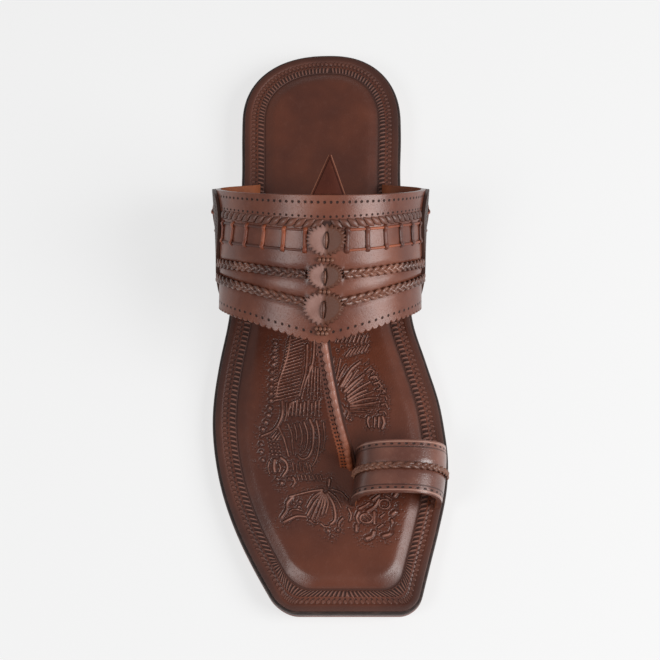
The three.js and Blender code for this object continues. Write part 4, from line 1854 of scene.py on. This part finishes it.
@dataclass
class InstepBand:
    """The band with its scallops, lacing, plaits, spine and peak tab."""

    face: BandFace
    wall: float = 2.4
    seat: float = 0.3
    scallop: float = 1.3
    scallop_end: float = 0.74
    scallop_round: float = 0.6
    lobe_columns: int = 6
    row_count: int = 42
    spine_half: float = 7.1
    row_gap: float = 1.0
    end_gap: float = 2.8
    trough: float = 2.0
    trough_soft: float = 1.2
    trough_depth: float = 0.55
    whip_count: int = 15
    whip_start: float = 0.01
    whip_slant: float = 0.05
    whip_rows: tuple[float, float] = (0.168, 0.236)
    rosette_cells: int = 24
    rosette_teeth: int = 24
    tooth: float = 0.1
    dish: float = 2.1
    rim_drop: float = 1.0
    pleat_depth: float = 0.08
    slit_depth: float = 0.7
    bead_pitch: float = 1.9
    stitch_rise: float = 0.8
    stitch_height: float = 0.45

    def __post_init__(self) -> None:
        """Measures the troughs that the plaits lie in."""
        self.troughs = [(row, *self.reach(row)) for row in PLAIT_ROWS.values()]

    def reach(self, row: RowLine) -> tuple[float, float]:
        """Where a row starts beside the spine and ends at the side panel, as turns.

        Args:
            row: The row.

        Returns:
            The first and the last turn.
        """
        arc = self.crown_arc(row.crown)
        end = row.side_turn
        for _ in range(4):
            end = 1 - PANEL_ARCH(row.along(end)) - self.end_gap / arc
        return (self.spine_half + self.row_gap) / arc, end

    def route(self, row: RowLine, side: Side) -> Route:
        """The route of a row on one side, from the spine to the side panel."""
        start, end = self.reach(row)

        def at(share: float) -> tuple[float, float]:
            """The place at a share of the way."""
            turn = side.value * lerp(start, end, share)
            return row.along(turn), turn

        return at

    def lobe(self, turn: float, column: int) -> float:
        """How far the pinked front edge stands out at a column, as a share along."""
        if abs(turn) > self.scallop_end:
            return 0.0
        wave = abs(math.sin(math.pi * column / self.lobe_columns))
        return self.scallop / self.face.length * wave**self.scallop_round

    def relief(self, along: float, turn: float) -> float:
        """The outer face's own rise and fall: full strips between sunken rows."""
        rise = 0.0
        for row, start, end in self.troughs:
            gap = abs(along - row.along(turn)) * self.face.length
            inside = smooth(abs(turn), start * 0.88, start * 1.08) * (abs(turn) < end + 0.02)
            wall = smooth(gap, self.trough, self.trough + self.trough_soft)
            rise -= inside * self.trough_depth * (1 - wall)
        return rise

    def sheet(self) -> bpy.types.Object:
        """The band itself, lined, with its pinked front edge."""
        arc = self.face.arc(0.5)
        lobes = round(arc(1) / LOBE_PITCH)
        columns = 2 * lobes * self.lobe_columns
        turns = Curve(arc.values, arc.places)
        alongs = [1 - i / self.row_count for i in range(self.row_count + 1)]

        def spot(column: int, row: int) -> tuple[float, float]:
            """The corner's place on the face, evenly spaced round the band."""
            half = 2 * column / columns - 1
            turn = turns(half * arc(1) if half > 0 else -half * arc(-1))
            along = alongs[row]
            if row == 0:
                along += self.lobe(turn, column)
            return along, turn

        def place(column: int, row: int, layer: int) -> Vector:
            """A corner of the inner or the outer face."""
            along, turn = spot(column, row)
            lift = self.wall + self.relief(along, turn) if layer else 0.0
            return self.face.rooted(along, turn, lift)

        def pattern(column: int, row: int, _layer: int) -> tuple[float, float]:
            """Length round the band in whole scallops, and length from its rear edge."""
            along, _turn = spot(column, row)
            return (2 * column / columns - 1) * lobes * LOBE_PITCH, along * self.face.length

        piece = Piece.block(columns, self.row_count, 1, place, pattern, lined=True)
        materials = [leather(STRAP_LEATHER), leather(LINING)]
        return piece.finish("instep_band", "strap", ["upper"], materials, bevel=0.35)

    def plaits(self) -> None:
        """The two plaits on each side."""
        plait = Plait(length=51.0, spread=1.3, weave=0.5, base=self.wall + 0.8)
        for side in Side:
            for place, row in PLAIT_ROWS.items():
                node = f"braid_{place}_{side.name.lower()}"
                plait.build(node, self.face, self.route(row, side), BRAID_LEATHER)

    def lacing(self) -> None:
        """The laced ladder along the band on each side, with the bright thong across or along."""
        base = self.wall + 0.35
        ladders = {
            Side.LATERAL: Ladder(6, base, THONG_DARK, THONG_BRIGHT, half=0.98),
            Side.MEDIAL: Ladder(6, base, THONG_BRIGHT, THONG_DARK, half=1.1),
        }
        for side, ladder in ladders.items():
            rails = [self.route(row, side) for row in LACING_ROWS]
            ladder.build(f"band_lacing_{side.name.lower()}", self.face, rails)

    def whipping(self) -> bpy.types.Object:
        """The slanted stitches behind the ladder."""
        _start, end = self.reach(WHIP_ROW)

        def centre(share: float) -> tuple[float, float]:
            """A stitch rises out of the leather and dips again."""
            return 0.0, self.wall - 0.1 + 0.5 * math.sin(math.pi * share)

        def half(share: float) -> tuple[float, float]:
            """A stitch is widest at its middle."""
            return 0.3 + 1.15 * math.sin(math.pi * share), self.stitch_height

        stitches = []
        for side in Side:
            for i in range(self.whip_count):
                turn = side.value * lerp(self.whip_start, end, (i + 0.1) / self.whip_count)
                rear, front = self.whip_rows
                route = straight((rear, turn), (front, turn + side.value * self.whip_slant))
                stitches.append(sweep(self.face, route, 8, centre, half))
        piece = Piece.joined(stitches)
        return piece.finish("band_whipping", "thong", ["upper"], [leather(WHIP_LEATHER)], sharp=CORD_SHARP)

    def spine(self) -> bpy.types.Object:
        """Three pinked rosettes down the crown, each slit along its middle."""
        rosettes = []
        for rear, front, half in ROSETTES:
            rosettes.append(self.rosette((rear + front) / 2, (front - rear) / 2, half))
        piece = Piece.joined(rosettes)
        materials = [leather(SPINE_LEATHER)]
        return piece.finish("centre_spine_rosettes", "strap", ["centre_spine"], materials, sharp=70)

    def rosette(self, middle: float, reach: float, half: float) -> Piece:
        """One rosette of the spine, with its teeth and the pleats that run to its slit.

        Args:
            middle: Its middle along the band.
            reach: Half its length, as a share along.
            half: Its half width.

        Returns:
            The rosette.
        """
        cells = self.rosette_cells
        arc = self.crown_arc(middle)

        def disc(column: int, row: int) -> tuple[float, float]:
            """The corner's place on a disc, as the squares of a grid bend to it."""
            a, b = 2 * column / cells - 1, 2 * row / cells - 1
            if abs(a) >= abs(b):
                radius, turn = a, math.pi / 4 * (b / a if a else 0.0)
            else:
                radius, turn = b, math.pi / 2 - math.pi / 4 * a / b
            return radius * math.cos(turn), radius * math.sin(turn)

        def place(column: int, row: int, layer: int) -> Vector:
            """A corner, dished about the slit, with a toothed rim and pleats."""
            x, y = disc(column, row)
            radius, angle = math.hypot(x, y), math.atan2(y, x)
            wave = math.cos(self.rosette_teeth * angle)
            spread = 1 + self.tooth * wave * smooth(radius, 0.75, 1.0)
            fold = self.dish * clamp(abs(x) / 0.9) ** 1.4 - self.rim_drop * smooth(radius, 0.82, 1.05)
            pleat = self.pleat_depth * wave * smooth(radius, 0.45, 0.8)
            slit = self.slit_depth * smooth(-abs(x), -0.13, -0.04) * smooth(-abs(y), -0.62, -0.42)
            lift = self.wall + 0.1 + layer * (0.7 + fold + pleat - slit)
            return self.face.lifted(middle - y * spread * reach, x * spread * half / arc, lift)

        def pattern(column: int, row: int, _layer: int) -> tuple[float, float]:
            """Distances from the rosette's middle, with one slit there."""
            x, y = disc(column, row)
            return x * half + SLIT_ROW.pitch / 2, y * reach * self.face.length

        return Piece.block(cells, cells, 1, place, pattern)

    def crown_arc(self, along: float) -> float:
        """Length across the crown for one turn."""
        h = self.face.step
        return (self.face.point(along, h) - self.face.point(along, -h)).length / (2 * h)

    def knots(self) -> bpy.types.Object:
        """Short thong stitches through the rosettes' slits, and small knots between them."""
        stitches = []
        for middle, reach, width in SLIT_STITCHES:
            stitches.append(self.crown_stitch(middle, reach, width, self.wall + 1.4))
        for neck, beads in NECK_KNOTS:
            for i in range(beads):
                offset = (i - (beads - 1) / 2) * self.bead_pitch
                stitches.append(self.crown_stitch(neck, 0.016, 0.85, self.wall + 0.5, offset))
        piece = Piece.joined(stitches)
        materials = [leather(KNOT_LEATHER)]
        return piece.finish("centre_spine_knots", "thong", ["centre_spine"], materials, sharp=CORD_SHARP)

    def crown_stitch(
        self, middle: float, reach: float, width: float, base: float, offset: float = 0.0
    ) -> Piece:
        """A stitch that lies along the crown.

        Args:
            middle: Its middle along the band.
            reach: Half its length, as a share of the band.
            width: Its half width.
            base: Its lowest height over the face.
            offset: How far to the side it lies.

        Returns:
            The stitch.
        """
        route = straight((middle - reach, CROWN_TURN), (middle + reach, CROWN_TURN))
        return sweep(
            self.face,
            route,
            8,
            lambda s: (offset, base + self.stitch_rise * math.sin(math.pi * s)),
            lambda s: (width * (0.5 + 0.5 * math.sin(math.pi * s)), self.stitch_height),
        )

    def peak(self) -> bpy.types.Object:
        """The pointed tab that comes out from under the rear edge."""
        run, lap, wide, tip, thick = 16.4, 7.0, 8.0, 0.7, 1.8
        steps, columns = 20, 10
        length = self.face.length
        arc = self.crown_arc(0.0)

        def width(along: float) -> float:
            """Half the tab's width, which narrows to its point."""
            return lerp(wide, tip, clamp(-along * length / run))

        def place(column: int, row: int, layer: int) -> Vector:
            """A corner, with the tab puffed a little along its middle."""
            along = lerp(lap / length, -run / length, row / steps)
            across = 2 * column / columns - 1
            turn = width(along) / arc * across
            puff = 0.35 * smooth(1 - abs(across), 0.0, 0.5) * layer
            return self.face.lifted(along, turn, -self.seat - thick * (1 - layer) + puff)

        def pattern(column: int, row: int, _layer: int) -> tuple[float, float]:
            """Length along the tab, and distance in from its edge."""
            along = lerp(lap, -run, row / steps)
            return along, (1 - abs(2 * column / columns - 1)) * width(along / length)

        piece = Piece.block(columns, steps, 1, place, pattern)
        return piece.finish("peak_tab_leather", "strap", ["peak_tab"], [leather(TAB_LEATHER)], bevel=0.3)

    def build(self) -> None:
        """Makes every piece of the band."""
        self.sheet()
        self.plaits()
        self.lacing()
        self.whipping()
        self.spine()
        self.knots()
        self.peak()


@dataclass
class SidePanels:
    """The arched panels sewn over each side of the band, with their lacing."""

    face: BandFace
    wall: float = 2.4
    seat: float = 0.3
    thickness: float = 1.4
    margin: float = 0.015
    taper: float = 1.4
    sections: int = 48
    rows_up: int = 30
    rails: tuple[tuple[tuple[float, float], tuple[float, float]], ...] = (
        ((0.09, 0.268), (0.78, 0.058)),
        ((0.19, 0.332), (0.88, 0.122)),
    )

    def panel(self, side: Side) -> bpy.types.Object:
        """One panel.

        Args:
            side: The side of the foot.

        Returns:
            The panel.
        """
        arcs = self.face.arc(0.5)
        ats = [(1 - i / self.sections) ** self.taper for i in range(self.sections + 1)]

        def up_share(column: int) -> float:
            """The share of the way up from the root."""
            return (column if side is Side.LATERAL else self.rows_up - column) / self.rows_up

        def place(column: int, row: int, layer: int) -> Vector:
            """A corner of the panel's inner or outer face."""
            share = up_share(column)
            turn = side.value * (1 - PANEL_ARCH(ats[row]) * share)
            lift = self.wall + 0.05 + (self.seat + self.thickness - 0.05) * layer
            return self.face.rooted(ats[row] * (1 - self.margin), turn, lift)

        def pattern(column: int, row: int, _layer: int) -> tuple[float, float]:
            """Length along the panel, and distance in from its arched edge."""
            up = PANEL_ARCH(ats[row])
            rim = abs(arcs(1 - up) - arcs(1 - up * up_share(column)))
            return ats[row] * self.face.length, min(rim, ats[row] * 30 + 1.2 * rim)

        piece = Piece.block(self.rows_up, self.sections, 1, place, pattern)
        node = f"side_panel_{side.name.lower()}"
        return piece.finish(f"{node}_leather", "strap", [node], [leather(PANEL_LEATHER)], bevel=0.3)

    def build(self) -> None:
        """Makes both panels and their lacing."""
        base = self.wall + self.seat + self.thickness + 0.3
        ladder = Ladder(5, base, THONG_DARK, THONG_BRIGHT)
        for side in Side:
            self.panel(side)
            rails = [
                straight(*((along, side.value * (1 - up)) for along, up in ends)) for ends in self.rails
            ]
            ladder.build(f"panel_lacing_{side.name.lower()}", self.face, rails)


@dataclass
class StrapLine:
    """The line of the centre strap, from the point of the band to the toe loop's inner foot."""

    band: BandFace
    loop: LoopFace
    thickness: float = 4.0
    band_wall: float = 2.4
    leaves: float = 0.9
    foot_back: float = 8.0
    foot_gap: float = 2.75
    route: tuple[tuple[float, float, float], ...] = (
        (0, 0, 0),
        (0.02, 0.06, 0.03),
        (0.26, 0.37, 0.25),
        (0.58, 0.69, 0.5),
        (0.86, 0.88, 0.72),
        (0.97, 0.97, 0.9),
        (1, 1, 1),
    )
    samples: int = 40

    def __post_init__(self) -> None:
        """Lays the line between the two straps."""
        loop = self.loop
        top = self.band.lifted(self.leaves, CROWN_TURN, self.band_wall - self.thickness / 2)
        foot_y = loop.rear_y - self.foot_back
        foot_x = loop.lifted(self.foot_back / loop.length, -1, loop.wall).x - self.foot_gap
        foot = Vector((foot_x, foot_y, self.band.form.insole_bottom(foot_y)))
        points = [
            Vector((lerp(top.x, foot.x, a), lerp(top.y, foot.y, b), lerp(top.z, foot.z, c)))
            for a, b, c in self.route
        ]
        self.points = self.rounded(points)
        self.lengths = running_lengths(self.points)

    def rounded(self, knots: list[Vector]) -> list[Vector]:
        """Close points on the smooth curve through the knots, with each knot's pull by its distance.

        Args:
            knots: The points that it goes through.

        Returns:
            The points of the curve.
        """
        ends = [knots[0] * 2 - knots[1], *knots, knots[-1] * 2 - knots[-2]]
        points = []
        for p0, p1, p2, p3 in zip(ends, ends[1:], ends[2:], ends[3:]):
            d0, d1, d2 = (max((b - a).length ** 0.5, 1e-4) for a, b in ((p0, p1), (p1, p2), (p2, p3)))
            start = ((p1 - p0) / d0 - (p2 - p0) / (d0 + d1) + (p2 - p1) / d1) * d1
            end = ((p2 - p1) / d1 - (p3 - p1) / (d1 + d2) + (p3 - p2) / d2) * d1
            points += [blend(p1, p2, start, end, i / self.samples) for i in range(self.samples)]
        return [*points, knots[-1]]

    def point(self, share: float) -> Vector:
        """The point at a share of the line's length."""
        target = clamp(share) * self.lengths[-1]
        i = min(bisect_right(self.lengths, target) - 1, len(self.points) - 2)
        part = (target - self.lengths[i]) / max(self.lengths[i + 1] - self.lengths[i], 1e-9)
        return self.points[i].lerp(self.points[i + 1], part)

    def frame(self, share: float) -> tuple[Vector, Vector, Vector]:
        """The point, the direction across and the direction out."""
        tangent = (self.point(share - 0.01) - self.point(share + 0.01)).normalized()
        across = Vector((1, 0, 0))
        across = (across - tangent * tangent.x).normalized()
        return self.point(share), across, across.cross(tangent)


STRAP_EDGE_LEATHER = Leather(
    "strap_under_leather",
    base=srgb(102, 56, 42),
    deep=srgb(76, 40, 30),
    worn=srgb(160, 106, 84),
    roughness=0.45,
    rows=(
        Row(Mark.HOLE, 1.0, pitch=2.2, width=0.55, length=0.5, depth=0.4),
        Row(Mark.HOLE, 2.4, pitch=2.2, width=0.6, length=0.55, depth=0.4),
        # painted shade: a flat dark band along the layer's big toe side edge, where it shows beside the
        # roll
        Row(Mark.DARK_LINE, 7.3, width=1.7, depth=0.0, tint=0.8),
    ),
    fade=Fade(srgb(156, 80, 46), 46.0, 12.0),
)
ROLL_LEATHER = Leather(
    "strap_roll_leather",
    base=srgb(146, 96, 80),
    deep=srgb(108, 62, 48),
    worn=srgb(190, 146, 128),
    roughness=0.36,
    coat=0.15,
    fade=Fade(srgb(160, 84, 50), 30.0, 6.0),
)


@dataclass
class CentreStrap:
    """The strap from the band's point: a pinked under layer and a smooth rolled layer on it."""

    line: StrapLine
    top_left: float = 3.3
    foot_left: float = 4.6
    right: float = 2.5
    tooth: float = 0.6
    tooth_pitch: float = 2.2
    pattern_width: float = 7.5
    bottom: float = -1.9
    top: float = 0.1
    arch: float = 0.4
    ridge_at: float = -0.2
    ridge_pitch: float = 4.4
    ridge_right: float = 1.5
    ridge_left: float = 0.8
    lobe: float = 1.0
    steps: int = 160

    def build(self) -> None:
        """Makes both layers."""
        flat, rolled = [leather(STRAP_EDGE_LEATHER)], [leather(ROLL_LEATHER)]
        self.under().finish("centre_strap_under", "strap", ["upper"], flat, bevel=0.2)
        self.roll().finish("centre_strap_roll", "strap", ["upper"], rolled, sharp=CORD_SHARP)

    def under(self) -> Piece:
        """The flat layer, pinked along its little toe side."""
        columns = 8
        length = self.line.lengths[-1]

        def place(column: int, row: int, layer: int) -> Vector:
            """A corner, arched a little and pinked at the first column."""
            share = 1 - row / self.steps
            middle, across, out = self.line.frame(share)
            left = lerp(self.top_left, self.foot_left, share)
            lean = column / columns
            wave = abs(math.sin(math.pi * (1 - share) * length / self.tooth_pitch))
            teeth = self.tooth * wave if column == 0 else 0.0
            arch = self.arch * (1 - (2 * lean - 1) ** 2)
            rise = lerp(self.bottom, self.top, layer) + layer * arch
            return middle + across * (lerp(-left, self.right, lean) - teeth) + out * rise

        def pattern(column: int, row: int, _layer: int) -> tuple[float, float]:
            """Length from the strap's foot, and distance from its pinked edge."""
            return row / self.steps * length, column / columns * self.pattern_width

        return Piece.block(columns, self.steps, 1, place, pattern)

    def roll(self) -> Piece:
        """The rounded ridge along the strap, lobed along its little toe side."""
        length = self.line.lengths[-1]

        def place(angle: float, step: int) -> Vector:
            """A corner of a ring, further out in a lobe's middle."""
            share = 1 - step / self.steps
            middle, across, out = self.line.frame(share)
            bump = abs(math.sin(math.pi * (1 - share) * length / self.ridge_pitch)) ** 0.7
            side = math.cos(angle)
            reach = self.ridge_left + self.lobe * bump if side < 0 else self.ridge_right
            x = self.ridge_at + side * reach
            return middle + across * x + out * (0.5 + math.sin(angle) * (1.0 + 0.4 * bump))

        return Piece.rod(16, self.steps, place, length)


LOOP_LEATHER = Leather(
    "loop_leather",
    base=srgb(126, 79, 64),
    deep=srgb(92, 52, 41),
    worn=srgb(180, 136, 120),
    roughness=0.31,
    gloss=0.5,
    coat=0.42,
    rows=(
        Row(Mark.HOLE, 2.0, pitch=3.2, width=0.75, length=0.45, depth=0.4),
        Row(Mark.DARK_LINE, 3.4, width=0.35, tint=0.5),
        Row(Mark.HOLE, 22.6, pitch=3.2, width=0.75, length=0.45, depth=0.4),
        Row(Mark.DARK_LINE, 21.2, width=0.35, tint=0.5),
    ),
    edges=((0.9, 0.2), (23.7, 0.2)),
    # painted shade: the loop darkens towards its little toe side root
    fade=Fade(srgb(52, 26, 19), -7.0, -25.0),
)


@dataclass
class ToeLoop:
    """The big toe loop and the plaited cord over it."""

    face: LoopFace
    wall: float = 2.4
    columns: int = 120
    rows: int = 20
    cord_end: float = 0.8
    trough_depth: float = 0.4

    def build(self) -> None:
        """Makes the loop and its cord."""
        self.strap()
        cord = Plait(length=66.0, spread=0.8, weave=0.45, base=self.wall + 0.6, period=10.6)
        route = straight((0.5, -self.cord_end), (0.5, self.cord_end))
        cord.build("toe_loop_cord", self.face, route, KNOT_LEATHER)

    def strap(self) -> bpy.types.Object:
        """The loop itself, lined, with a shallow trough for its cord."""
        arc = self.face.arc(0.5)

        def place(column: int, row: int, layer: int) -> Vector:
            """A corner of the inner or the outer face."""
            turn = lerp(-1, 1, column / self.columns)
            along = 1 - row / self.rows
            gap = abs(along - 0.5) * self.face.length
            dip = self.trough_depth * (1 - smooth(gap, 1.4, 2.6)) if abs(turn) < self.cord_end else 0.0
            return self.face.rooted(along, turn, (self.wall - dip) * layer)

        def pattern(column: int, row: int, _layer: int) -> tuple[float, float]:
            """Length round the loop from its crown, and length from its rear edge."""
            return arc(lerp(-1, 1, column / self.columns)), (1 - row / self.rows) * self.face.length

        piece = Piece.block(self.columns, self.rows, 1, place, pattern, lined=True)
        materials = [leather(LOOP_LEATHER), leather(LINING)]
        return piece.finish("toe_loop_strap", "strap", ["upper"], materials, bevel=0.35)


# studio


@dataclass(frozen=True)
class Softbox:
    """A soft studio light aimed at the shoe."""

    name: str
    spot: tuple[float, float, float]
    size: float
    power: float

    def build(self) -> None:
        """Hangs the light."""
        light = bpy.data.lights.new(self.name, "AREA")
        light.shape = "SQUARE"
        light.size = self.size
        light.energy = self.power
        lamp = bpy.data.objects.new(self.name, light)
        lamp.location = self.spot
        lamp.rotation_euler = (-Vector(self.spot)).to_track_quat("-Z", "Y").to_euler()
        bpy.context.scene.collection.objects.link(lamp)


@dataclass
class Studio:
    """A plain pale floor, soft light and the camera at the photograph's angle."""

    camera_spot: tuple[float, float, float] = (0.0, -0.2692, 0.7541)
    target: tuple[float, float, float] = (0.0, -0.0022, 0.0)
    lens: float = 88.7
    room: float = 0.28

    def build(self) -> None:
        """Sets up the floor, the light and the camera."""
        self.floor()
        self.light()
        self.camera()

    def floor(self) -> None:
        """Lays the floor."""
        bm = bmesh.new()
        bmesh.ops.create_grid(bm, x_segments=2, y_segments=2, size=4.0)
        mesh = bpy.data.meshes.new("studio_floor")
        bm.to_mesh(mesh)
        bm.free()
        mesh.materials.append(Paper().build())
        floor = bpy.data.objects.new("studio_floor", mesh)
        floor.location.z = -0.0002
        bpy.context.scene.collection.objects.link(floor)

    def light(self) -> None:
        """Lights the room and hangs the softboxes."""
        world = bpy.data.worlds.new("studio")
        world.use_nodes = True
        backdrop = world.node_tree.nodes["Background"]
        backdrop.inputs["Color"].default_value = (1, 1, 1, 1)
        backdrop.inputs["Strength"].default_value = self.room
        scene = bpy.context.scene
        scene.world = world
        scene.view_settings.view_transform = "Standard"
        for box in (
            Softbox("right_light", (1.05, -0.3, 0.85), 0.78, 17.5),
            Softbox("left_light", (-0.8, -0.5, 1.1), 0.5, 5.8),
        ):
            box.build()

    def camera(self) -> None:
        """Places the camera."""
        lens = bpy.data.cameras.new("camera")
        lens.lens = self.lens
        lens.sensor_width = 36.0
        camera = bpy.data.objects.new("camera", lens)
        camera.location = self.camera_spot
        aim = Vector(self.target) - Vector(self.camera_spot)
        camera.rotation_euler = aim.to_track_quat("-Z", "Y").to_euler()
        bpy.context.scene.collection.objects.link(camera)
        bpy.context.scene.camera = camera


def main() -> None:
    """Builds the shoe and its studio; the imported parts that the new pieces stand for stay in the scene,
    hidden.
    """
    logging.basicConfig(level=logging.INFO, format="%(name)s: %(message)s")
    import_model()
    Studio().build()
    form = SoleForm()
    band, loop = BandFace(form), LoopFace(form)
    sole = Sole(form)
    sole.outsole()
    sole.midsole()
    Insole(form).build()
    InstepBand(band).build()
    SidePanels(band).build()
    ToeLoop(loop).build()
    CentreStrap(StrapLine(band, loop)).build()


if __name__ == "__main__":
    main()
